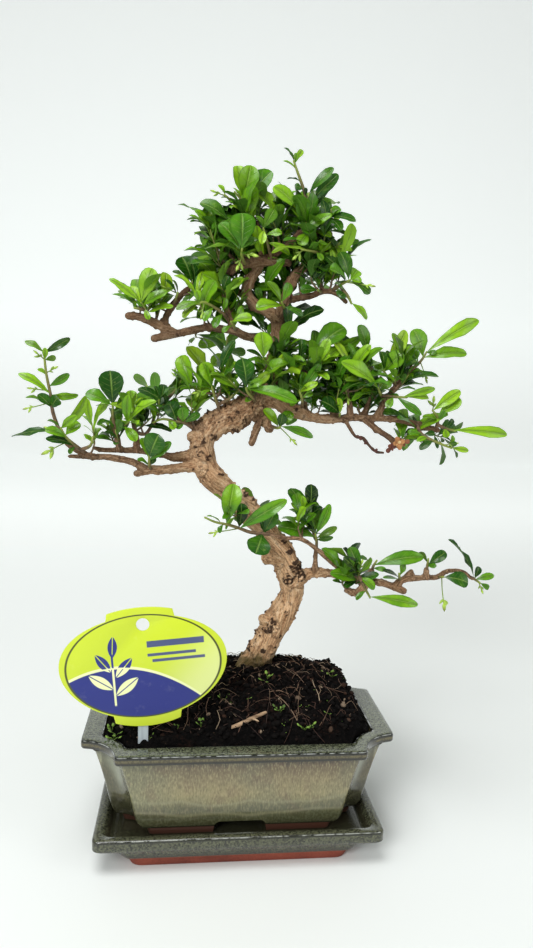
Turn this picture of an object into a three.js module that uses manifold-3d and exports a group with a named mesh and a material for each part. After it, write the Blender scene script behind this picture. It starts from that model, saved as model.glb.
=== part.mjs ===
// Fukien tea bonsai in a pot with scooped corners, on a saucer. Millimetres, +Z up.
// The origin is on the flat underside of the saucer, below the middle of the pot.
// The pot's long side runs along X and its front faces -Y.
// Heights in the tables are counted from LIFT above that underside.
import * as THREE from 'three';
import { mergeVertices } from 'three/addons/utils/BufferGeometryUtils.js';
import Module from 'manifold-3d';

const wasm = await Module();
wasm.setup();

// Driving dimensions
const RIM = { halfX: 75, halfY: 44.2, top: 49.8, thickness: 4.6, scoop: 17 };
const OPENING = { halfX: 65, halfY: 34.6 };
const BODY = { halfX: 67, halfY: 39.5, scoop: 12.5, wall: 4.5, bottom: 10, floorTop: 15 };
const FOOT = { halfX: 56, halfY: 34.8, width: 7, archHalfX: 11.5, archTop: 13, sideArchHalfY: 8 };
const DRAIN = { radius: 6, spacing: 56 };
const MESH_STRIP = { length: 84, width: 20, thickness: 0.8, bar: 1.6, pitch: 6 };
const LIFT = 6;
const SAUCER = { halfX: 67.6, halfY: 45.3, top: 10.6, wallFoot: 4.6, rimWidth: 5.2, floor: 6 };
const UNDERSIDE = { top: 3.9, halfX: 60, halfY: 42.6, foot: -1, footHalfX: 55, footHalfY: 40.6 };
const SLAB = { top: -1.8, halfX: 52.6, halfY: 39.6, baseHalfX: 51, baseHalfY: 38.8 };
const SOIL = { rimLevel: 48.6, mound: 22.4, crestX: 5.6, crestY: 17, spread: 72, lump: 0.7 };
const LABEL = {
  x: -45.8,
  y: -32.4,
  z: 87,
  halfWidth: 38,
  halfHeight: 24.4,
  tab: 15.5,
  tabRise: 3.6,
  waist: 2,
  thickness: 1,
  turn: 5.3,
  hole: { x: 1, z: 20, radius: 3 },
};
const STAKE = { x: -45.9, y: -31.1, halfWidth: 2.3, thickness: 0.7, bottom: 24, point: 31, top: 98 };
const GAP = 0.32;
const WOOD_ROOM = 0.4;
const STEM = { root: 1.05, tip: 0.7 };
const LEAF = { thickness: 0.7, arch: 0.1, fold: 0.2, room: 0.3 };
const BUD = { stalk: 0.5, spindle: 0.32, spread: 42, step: 1.2 };
const SHORTEST_EDGE = 0.12;

const finish = (color, roughness) => new THREE.MeshStandardMaterial({ color, roughness, metalness: 0 });
const materials = {
  glaze: finish(0x85886f, 0.28),
  saucerGlaze: finish(0x62675c, 0.35),
  mesh: finish(0x2c2f2d, 0.6),
  soil: finish(0x2a211c, 0.95),
  bark: finish(0x9a7a58, 0.8),
  leaf: finish(0x4f8a2a, 0.4),
  label: finish(0xd7eb55, 0.35),
  stake: finish(0xb4bcbc, 0.4),
  deadWood: finish(0xb49670, 0.85),
};

const bonsai = new THREE.Group();

const vec = (x, y, z) => new THREE.Vector3(x, y, z);
const fromList = ([x, y, z]) => vec(x, y, z);
const radians = (degrees) => (degrees * Math.PI) / 180;

// A repeatable draw from 0 to 1 for the nth item of a kind.
const draw = (n, kind) => {
  const wave = Math.sin(n * 12.9898 + kind * 78.233) * 43758.5453;
  return wave - Math.floor(wave);
};

// A closed mesh to a solid that can be cut and joined, and back.
function solidOf(geometry) {
  const bare = geometry.clone();
  bare.deleteAttribute('normal');
  bare.deleteAttribute('uv');
  const merged = mergeVertices(bare, 1e-4);
  return new wasm.Manifold(new wasm.Mesh({
    numProp: 3,
    vertProperties: new Float32Array(merged.attributes.position.array),
    triVerts: new Uint32Array(merged.index.array),
  }));
}

function geometryOf(solid) {
  const mesh = solid.getMesh();
  const geometry = new THREE.BufferGeometry();
  geometry.setAttribute('position', new THREE.BufferAttribute(new Float32Array(mesh.vertProperties), 3));
  geometry.setIndex(new THREE.BufferAttribute(new Uint32Array(mesh.triVerts), 1));
  return geometry;
}

function addPart(name, solid, material) {
  const mesh = new THREE.Mesh(geometryOf(solid.translate(0, 0, LIFT)), material);
  mesh.name = name;
  bonsai.add(mesh);
}

// A closed solid through rings of points, each wound anticlockwise seen from the last ring.
// The caps triangulate the first ring's flat outline.
function loft(rings, flatOutline) {
  const count = rings[0].length;
  const index = [];
  for (let r = 0; r + 1 < rings.length; r++) {
    for (let i = 0; i < count; i++) {
      const a = r * count + i;
      const b = r * count + ((i + 1) % count);
      index.push(a, b, b + count, a, b + count, a + count);
    }
  }
  const last = (rings.length - 1) * count;
  for (const [a, b, c] of THREE.ShapeUtils.triangulateShape(flatOutline, [])) {
    index.push(a, c, b, last + a, last + b, last + c);
  }
  const geometry = new THREE.BufferGeometry();
  const positions = rings.flat().flatMap((point) => point.toArray());
  geometry.setAttribute('position', new THREE.Float32BufferAttribute(positions, 3));
  geometry.setIndex(index);
  return solidOf(geometry);
}

// Mirrors a quarter outline, given anticlockwise from the +X side to the +Y side, into a whole one.
function wholeOutline(quarter) {
  const turned = [...quarter].reverse();
  return [
    ...quarter,
    ...turned.map(([x, y]) => [-x, y]),
    ...quarter.map(([x, y]) => [-x, -y]),
    ...turned.map(([x, y]) => [x, -y]),
  ].map(([x, y]) => new THREE.Vector2(x, y));
}

// A rectangle whose corners are scooped out round a centre, with the edges beside the scoop eased.
function scoopedOutline({ halfX, halfY, centreX = halfX, centreY = halfY, scoop, ease = 1.6 }) {
  const steps = 4;
  const fromSide = Math.asin((centreX - halfX) / scoop) + ease / scoop;
  const fromFront = Math.asin((centreY - halfY) / scoop) + ease / scoop;
  const sideY = centreY - Math.sqrt(scoop ** 2 - (centreX - halfX) ** 2);
  const frontX = centreX - Math.sqrt(scoop ** 2 - (centreY - halfY) ** 2);
  const quarter = [[halfX, sideY - ease]];
  for (let i = 0; i <= steps; i++) {
    const angle = fromSide + (i / steps) * (Math.PI / 2 - fromFront - fromSide);
    quarter.push([centreX - scoop * Math.sin(angle), centreY - scoop * Math.cos(angle)]);
  }
  quarter.push([frontX - ease, halfY]);
  return wholeOutline(quarter);
}

function roundedOutline({ halfX, halfY, round }) {
  const steps = 3;
  const quarter = [];
  for (let i = 0; i <= steps; i++) {
    const angle = (i / steps) * (Math.PI / 2);
    quarter.push([halfX - round + round * Math.cos(angle), halfY - round + round * Math.sin(angle)]);
  }
  return wholeOutline(quarter);
}

// A loft through level outlines, each a [height, outline].
function levels(...stack) {
  const rings = stack.map(([z, outline]) => outline.map(({ x, y }) => vec(x, y, z)));
  return loft(rings, stack[0][1]);
}

function block(x, y, z, width, depth, height) {
  return solidOf(new THREE.BoxGeometry(width, depth, height).translate(x, y, z));
}

// The pot
const atRim = { centreX: RIM.halfX, centreY: RIM.halfY };
const body = (halfX, halfY, scoop = BODY.scoop) => scoopedOutline({ halfX, halfY, scoop });
const inside = (halfX, halfY) => scoopedOutline({
  halfX,
  halfY,
  centreX: halfX + BODY.wall,
  centreY: halfY + BODY.wall,
  scoop: BODY.scoop + BODY.wall,
});

function potHollow(shrink, floor, top) {
  return levels(
    [floor, inside(54 - shrink, 30.5 - shrink)],
    [22, inside(58.3 - shrink, 32.6 - shrink)],
    [40, inside(62.3 - shrink, 33.8 - shrink)],
    [RIM.top + 0.4, inside(OPENING.halfX - shrink, OPENING.halfY - shrink)],
    [top, inside(OPENING.halfX - shrink, OPENING.halfY - shrink)],
  );
}

function makePot() {
  const under = RIM.top - RIM.thickness;
  const rim = (inset) => scoopedOutline({
    halfX: RIM.halfX - inset,
    halfY: RIM.halfY - inset,
    ...atRim,
    scoop: RIM.scoop + inset,
    ease: 2.2,
  });
  const outside = levels(
    [BODY.bottom, body(56.5, 34.6)],
    [BODY.bottom + 1.4, body(59, 36)],
    [16, body(61.4, 36.6)],
    [27, body(63.7, 37.7)],
    [40, body(BODY.halfX, BODY.halfY)],
    [under, body(BODY.halfX + 1.6, BODY.halfY + 0.8)],
  );
  const flange = levels(
    [under - 0.2, rim(1.4)],
    [under + 0.9, rim(0)],
    [RIM.top - 1, rim(0)],
    [RIM.top, rim(0.9)],
  );
  const foot = levels(
    [SAUCER.floor, body(FOOT.halfX - 1, FOOT.halfY - 0.8)],
    [BODY.bottom + 0.5, body(FOOT.halfX, FOOT.halfY)],
  );
  const footHollow = levels(
    [SAUCER.floor - 1, inside(FOOT.halfX - FOOT.width, FOOT.halfY - FOOT.width)],
    [BODY.bottom - 0.1, inside(FOOT.halfX - FOOT.width, FOOT.halfY - FOOT.width)],
  );
  const archShape = new THREE.Shape();
  archShape.moveTo(-FOOT.archHalfX - 1.4, SAUCER.floor - 1);
  archShape.lineTo(FOOT.archHalfX + 1.4, SAUCER.floor - 1);
  archShape.lineTo(FOOT.archHalfX + 0.6, FOOT.archTop - 2.4);
  archShape.quadraticCurveTo(FOOT.archHalfX, FOOT.archTop, FOOT.archHalfX - 2.6, FOOT.archTop);
  archShape.lineTo(-FOOT.archHalfX + 2.6, FOOT.archTop);
  archShape.quadraticCurveTo(-FOOT.archHalfX, FOOT.archTop, -FOOT.archHalfX - 0.6, FOOT.archTop - 2.4);
  const archWay = { depth: 100, bevelEnabled: false, curveSegments: 3 };
  const archGeometry = new THREE.ExtrudeGeometry(archShape, archWay).translate(0, 0, -50);
  const arch = solidOf(archGeometry.rotateX(Math.PI / 2));
  const sideArch = block(0, 0, SAUCER.floor, 140, 2 * FOOT.sideArchHalfY, 2 * (BODY.bottom - SAUCER.floor));

  let pot = outside.add(flange).add(foot.subtract(footHollow).subtract(sideArch)).subtract(arch);
  pot = pot.subtract(potHollow(0, BODY.floorTop, RIM.top + 5));
  for (const side of [-1, 1]) {
    const hole = new THREE.CylinderGeometry(DRAIN.radius, DRAIN.radius, 20, 16).rotateX(Math.PI / 2);
    pot = pot.subtract(solidOf(hole.translate((side * DRAIN.spacing) / 2, 0, BODY.bottom)));
  }
  return pot;
}

// The mesh strip over the drain holes: a plate with a grid of square openings.
function makeDrainMesh() {
  const { length, width, thickness, bar, pitch } = MESH_STRIP;
  const middle = BODY.floorTop + thickness / 2;
  let strip = block(0, 0, middle, length, width, thickness);
  for (const side of [-1, 1]) {
    for (const column of [-1, 0, 1]) {
      for (const row of [-1, 0, 1]) {
        const x = (side * DRAIN.spacing) / 2 + column * pitch;
        strip = strip.subtract(block(x, row * pitch, middle, pitch - bar, pitch - bar, 3));
      }
    }
  }
  return strip;
}

function makeSaucer() {
  const outer = (inset, round = 4) => roundedOutline({
    halfX: SAUCER.halfX - inset,
    halfY: SAUCER.halfY - inset,
    round,
  });
  const foot = (halfX, halfY) => roundedOutline({ halfX, halfY, round: 5 });
  const solid = levels(
    [-LIFT, foot(SLAB.baseHalfX, SLAB.baseHalfY)],
    [SLAB.top, foot(SLAB.halfX, SLAB.halfY)],
    [SLAB.top + 0.3, foot(UNDERSIDE.footHalfX - 0.4, UNDERSIDE.footHalfY - 0.3)],
    [UNDERSIDE.foot, foot(UNDERSIDE.footHalfX, UNDERSIDE.footHalfY)],
    [UNDERSIDE.top, foot(UNDERSIDE.halfX, UNDERSIDE.halfY)],
    [SAUCER.wallFoot, outer(1.2)],
    [SAUCER.wallFoot + 1, outer(0)],
    [SAUCER.top - 0.8, outer(0)],
    [SAUCER.top, outer(0.8)],
  );
  const { rimWidth } = SAUCER;
  const tray = levels([SAUCER.floor, outer(rimWidth + 2, 3)], [SAUCER.top + 0.5, outer(rimWidth, 4)]);
  return solid.subtract(tray);
}

const smoothCurve = (points) => new THREE.CatmullRomCurve3(points.map(fromList), false, 'catmullrom', 0.5);

// A tube along a smooth curve through [x, y, z, radius] points, its girth varied by `gnarl`.
function tube(route, { sides = 6, finer = 1, spare = 0, gnarl = 0, kind = 0 } = {}) {
  const curve = smoothCurve(route);
  const count = (route.length - 1) * finer;
  const circle = Array.from({ length: sides }, (_, i) => radians((360 * i) / sides));
  const across = Math.abs(curve.getTangent(0).y) > 0.9 ? vec(1, 0, 0) : vec(0, 1, 0);
  const rings = [];
  for (let k = 0; k <= count; k++) {
    const place = k / finer;
    const low = Math.min(Math.floor(place), route.length - 2);
    const radius = THREE.MathUtils.lerp(route[low][3], route[low + 1][3], place - low) + spare;
    const point = curve.getPoint(k / count);
    const along = curve.getTangent(k / count).normalize();
    if (k === 0) point.addScaledVector(along, -spare);
    if (k === count) point.addScaledVector(along, spare);
    across.addScaledVector(along, -across.dot(along)).normalize();
    const up = along.clone().cross(across);
    rings.push(circle.map((angle, i) => {
      const bulge = radius * (1 + gnarl * (2 * draw(k * 17 + i, kind) - 1));
      return point.clone()
        .addScaledVector(across, bulge * Math.cos(angle))
        .addScaledVector(up, bulge * Math.sin(angle));
    }));
  }
  return loft(rings, circle.map((angle) => new THREE.Vector2(Math.cos(angle), Math.sin(angle))));
}

// Wood, as [x, y, z, radius] along the trunk and along each branch, twig and cut stub
const TRUNK = [
  [4, 16, 42, 9], [6, 15, 62, 8.4], [10, 14, 71.5, 7.7], [15, 12, 82.5, 6.9], [21.5, 10.4, 96, 6.8],
  [26, 8.8, 106, 6.6], [27.3, 7.5, 114, 6.2], [24, 6, 124, 6.2], [21, 5, 132, 6.2], [15.5, 4, 140, 5.8],
  [8, 4, 148.5, 5.8], [-1.5, 4, 157.5, 5.8], [-9.5, 3, 165, 5.8], [-16.5, 2, 172, 6.1], [-20, 2, 179, 6.3],
  [-21, 2, 186, 6.2], [-19, 2, 193, 6.4], [-13, 3, 198, 6.9], [-6, 4, 201, 7], [0, 4, 204.5, 6.8],
  [6, 5, 209, 6], [10, 6, 215, 4.8], [13, 6, 222, 3.9], [14, 6, 229, 3.5], [15, 6, 237, 3.4],
  [15, 6, 244, 3.3], [15, 5, 251, 3.3],
];
const LIMBS = [
  [[12, 14, 73, 4.2], [18, 13, 66, 3.2], [24, 13, 59, 2]],
  [[6, 12, 73, 4.4], [0.5, 8, 66.5, 3.6], [-4, 2, 59, 2.2]],
  [[7, 17, 73, 4.2], [3, 24, 65, 3.2], [1, 28, 56, 2]],
  [[19, 10, 93.5, 4.4], [12.8, 8, 96.5, 2.9]],
  [[21, 5, 129, 4.6], [13, 3, 130, 3.2]],
  [[-22, 2, 189, 4.2], [-26, -1, 191, 2.8]],
  [[-21, 2, 192, 2.4], [-25, 1, 194.5, 1.6]],
  [[7, 4, 205, 2.8], [6.4, 3, 197, 1.9], [3.4, 1, 188, 1.7]],
  [[8, 5, 202, 2.8], [13, 6, 195, 2.2]],
  // lower right branch
  [[25, 7, 117, 4.4], [32, 5, 120, 4.2], [37, 4, 122, 2.6], [47, 2, 122, 2.2], [60, 0, 119, 2],
    [72, 0, 118, 1.9], [84, -2, 114, 1.8]],
  [[79, -1, 116, 1.8], [84, -1, 120, 1.8], [95, 0, 120.5, 1.6], [102, 0, 121, 1.4], [107, 0, 124, 1.3],
    [115, 0, 124, 1.2], [121, 0, 120, 1]],
  [[83, -1, 119, 1.6], [88, 0, 124, 1.3]],
  [[96, 0, 120, 1.8], [96, 0, 125, 1.6]],
  [[53, -2, 115, 1.7], [59, -2, 113, 2.2], [63, -1, 116, 2.4], [65, 0, 120, 2.4], [67, 0, 124, 1.7]],
  [[38, 3, 123, 1.8], [38, 2, 130, 1.3], [38, 2, 135, 1.2]],
  [[54, -1, 122, 1.5], [47, -4, 128, 1.3], [35, -7, 138, 1.2], [28, -8, 142, 1.2], [20, -8, 142.5, 1.1],
    [12, -8, 144.5, 1]],
  // left pad
  [[-20, 3, 183, 3.8], [-28, 4, 181, 2.8], [-35, 4, 180, 2.3], [-39, 4, 181, 1.7], [-53, 4, 183, 1.5],
    [-68, 2, 183, 1.3], [-73, 1, 184, 1.1]],
  [[-19, 1, 176, 3.8], [-27, 0, 176, 2.6], [-34, -1, 175, 2.3], [-41, -1, 174, 2.5], [-47, -1, 174, 2.3],
    [-52, -1, 172, 1.6]],
  [[-48, -1, 174.5, 2], [-55, -2, 178, 1.9], [-66, -3, 180, 1.7], [-72, -3, 180, 1.5], [-84, -3, 180, 1]],
  [[-70, -3, 180, 1.5], [-75, -5, 181, 1.4], [-80, -6, 183, 1.3], [-85, -6, 187, 1.2], [-88, -6, 193, 1.1]],
  [[-61, 3, 183, 1.6], [-62, 2, 189, 1.5], [-63, 1, 194, 1.3]],
  [[-53, 4, 182.5, 1.7], [-53, 5, 187, 1.6], [-53, 5, 191, 1.4]],
  // right pad
  [[7, 5, 211, 4.4], [15, 3, 209, 3.5], [21, 2, 205, 3.3], [27, 2, 204, 3.7], [34, 2, 201.5, 2.3],
    [43, 2, 201, 2.4], [53, 2, 202, 1.9], [65, 1, 202, 1.8], [75, 0, 202, 1.7], [85, -1, 200, 1.7],
    [97, -2, 197, 1.5]],
  [[66, 1, 202.5, 2], [70, 1, 211, 1.7], [76, 1, 219, 1.4], [83, 1, 228, 1.2]],
  [[60, 1, 201, 1.7], [67, -1, 196, 1.5], [72, -2, 193, 1.5], [77, -3, 189, 1.8]],
  [[53, 2, 201.5, 2], [52, 2, 209, 1.7]],
  [[29, 2, 203, 1.8], [30, 3, 210, 1.3], [30, 3, 224, 1.1]],
  [[58, 2, 201.5, 1.6], [62, 3, 210, 1.3], [65, 5, 225, 1.1]],
  [[50, 0, 200.5, 1.3], [55, -1, 193, 0.8], [59, -1, 192, 1], [65, -1, 186, 0.8], [70, -1, 185, 0.7]],
  // arm to the left
  [[13, 5, 237, 2.8], [5, 2, 239, 2.3], [-1, 1, 240, 2], [-6, 0, 242, 2.1], [-13, 0, 243, 1.9],
    [-20, 0, 243.5, 2], [-28, 0, 241.5, 2], [-45, 0, 237, 1.9]],
  [[-35, 0, 240, 2], [-41, 0, 243, 2.3], [-52, -1, 247, 1.9], [-57, -2, 247, 1.9]],
  [[-40, 0, 243, 2], [-39, 2, 249, 1.8], [-33, 4, 258, 1.6], [-29, 5, 262, 1.4]],
  [[-7, 0, 241, 1.8], [-9, -1, 248, 1.4], [-11, -2, 254, 1.2], [-12, -2, 258, 1.1]],
  // crown
  [[15, 5, 249, 3.3], [9, 5, 253, 3], [4, 4, 255, 2.9], [0, 4, 259, 2.9], [-1, 4, 263, 2.8], [1, 4, 268, 2.7],
    [4, 4, 272, 2.4], [6, 3, 276, 2.2]],
  [[-10, 1, 269, 2], [-6, 1, 273, 2.2], [0, 1, 275, 2.3], [7, 2, 276, 2.3], [19, 2, 276, 1.9]],
  [[15, 5, 249, 3.2], [18, 4, 257, 2.8], [19, 4, 262, 2.7], [21, 4, 268, 2.7], [24, 4, 272, 2.4],
    [30, 4, 277, 2.2]],
  [[21, 4, 259, 1.8], [31, 3, 261, 1.5], [36, 2, 263, 1.4], [40, 0, 263, 1.3], [44, -2, 261, 1.3],
    [47, -3, 258, 1.2]],
  [[6, 3, 276, 2.1], [12, 3, 280, 1.9], [19, 2, 285, 1.9], [25, 2, 291, 1.7], [37, 2, 301, 1.5]],
  [[30, 4, 276.5, 2], [34, 3, 281, 1.6], [38, 2, 285, 1.4], [39, 2, 291, 1.2]],
  [[30, 4, 277, 1.8], [32, 5, 286, 1.5], [34, 7, 293, 1.4]],
  [[6, 3, 276, 1.8], [5, 3, 285, 1.5], [3, 3, 294, 1.4]],
  [[24, 2, 290, 1.6], [26, 3, 294, 1.3], [28, 3, 299, 1]],
  // branches to the back
  [[23, 8, 121, 3.2], [25, 20, 127, 2.2], [22, 30, 132, 1.8], [16, 38, 138, 1.3]],
  [[-17, 4, 190, 3.2], [-24, 14, 196, 2.1], [-33, 23, 200, 1.6], [-40, 28, 205, 1.2]],
  [[4, 7, 208, 3], [5, 17, 216, 1.9], [0, 27, 222, 1.5], [-6, 33, 229, 1.1]],
  [[44, 3, 202, 2], [49, 13, 208, 1.7], [56, 22, 212, 1.5], [63, 28, 218, 1.1]],
  [[3, 5, 257, 2.4], [-5, 13, 263, 1.8], [-12, 20, 269, 1.5], [-16, 25, 276, 1.1]],
  [[22, 5, 270, 2.3], [27, 14, 274, 1.7], [30, 22, 280, 1.4], [29, 28, 288, 1.1]],
];

// The whole tree's wood, piece by piece, and the room that it takes with a gap round it.
function woodTubes(spare) {
  const limbs = LIMBS.map((route, i) => {
    const sides = route[0][3] > 2.3 ? 5 : 4;
    return tube(route, { sides, spare, gnarl: 0.08, kind: i });
  });
  return [tube(TRUNK, { sides: 9, spare, gnarl: 0.07, kind: 91 }), ...limbs];
}

const together = (solids) => solids.reduce((whole, solid) => whole.add(solid));
const lighter = (solid) => solid.asOriginal().simplify(SHORTEST_EDGE);
const largestOf = (solid) => solid.decompose().sort((a, b) => b.volume() - a.volume())[0];
const woodRooms = woodTubes(WOOD_ROOM);

// The soil, heaped up towards the foot of the trunk
function soilHeight(x, y) {
  const { rimLevel, mound, crestX, crestY, spread } = SOIL;
  const alongX = 1 - Math.abs((x - crestX) / spread) ** 3.2;
  const reach = y < crestY ? OPENING.halfY + crestY : 1.45 * (OPENING.halfY - crestY);
  const alongY = Math.cos(Math.min(1, Math.abs(y - crestY) / reach) * (Math.PI / 2)) ** 0.85;
  return rimLevel + mound * Math.max(0, alongX) * alongY;
}

function makeSoil() {
  const floor = BODY.floorTop + MESH_STRIP.thickness + GAP;
  const box = new THREE.BoxGeometry(132, 72, 20, 12, 7, 1).translate(0, 0, floor + 10);
  const points = box.attributes.position;
  for (let i = 0; i < points.count; i++) {
    if (points.getZ(i) > floor + 19) {
      const [x, y] = [points.getX(i), points.getY(i)];
      const lump = SOIL.lump * (2 * draw(Math.round(x * 3) + Math.round(y * 57), 3) - 1);
      points.setZ(i, soilHeight(x, y) + lump);
    }
  }
  let soil = solidOf(box).intersect(potHollow(GAP, floor, 90));
  for (const root of woodRooms.slice(0, 4)) soil = soil.subtract(root);
  return soil.subtract(makeStake(GAP)).subtract(tube(DEAD_TWIG, { sides: 5, spare: GAP + 0.1 }));
}

// The label: an oval plate with a raised tab at its top and bottom, on a flat pointed stake
function makeLabelPlate() {
  const { halfWidth, halfHeight, tab, tabRise, waist, thickness, hole } = LABEL;
  const tabAngle = Math.acos(tab / halfWidth);
  const oval = (angle, rise) => [
    halfWidth * Math.cos(angle),
    (halfHeight + rise) * Math.sin(angle) + waist * Math.cos(angle) ** 2,
  ];
  const arc = (from, to, steps, rise) => Array.from({ length: steps + 1 }, (_, i) => (
    oval(from + ((to - from) * i) / steps, rise)
  ));
  const outline = [
    ...arc(-tabAngle, tabAngle, 10, 0),
    ...arc(tabAngle + 0.02, Math.PI - tabAngle - 0.02, 6, tabRise),
    ...arc(Math.PI - tabAngle, Math.PI + tabAngle, 10, 0),
    ...arc(Math.PI + tabAngle + 0.02, 2 * Math.PI - tabAngle - 0.02, 6, tabRise),
  ];
  const shape = new THREE.Shape(outline.map(([x, z]) => new THREE.Vector2(x, z)));
  shape.holes.push(new THREE.Path().absarc(hole.x, hole.z, hole.radius, 0, 2 * Math.PI, true));
  const plateWay = { depth: thickness, bevelEnabled: false, curveSegments: 12 };
  const plate = new THREE.ExtrudeGeometry(shape, plateWay);
  plate.rotateX(Math.PI / 2).rotateY(-radians(LABEL.turn));
  return solidOf(plate.translate(LABEL.x, LABEL.y + thickness / 2, LABEL.z));
}

function makeStake(spare = 0) {
  const { x, y, halfWidth, thickness, bottom, point, top } = STAKE;
  const wide = halfWidth + spare;
  const outline = [[-wide, top], [-wide, point], [0, bottom - spare], [wide, point], [wide, top]];
  const shape = new THREE.Shape(outline.map(([across, z]) => new THREE.Vector2(across, z)));
  const stakeWay = { depth: thickness + 2 * spare, bevelEnabled: false };
  const stake = new THREE.ExtrudeGeometry(shape, stakeWay);
  return solidOf(stake.rotateX(Math.PI / 2).translate(x, y + thickness / 2 + spare, 0));
}

const DEAD_TWIG = [[-5, -28, 55.1, 0.8], [-1, -27, 55.9, 1], [5, -24.5, 57.6, 0.95], [12, -22, 59.3, 0.75]];

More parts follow.
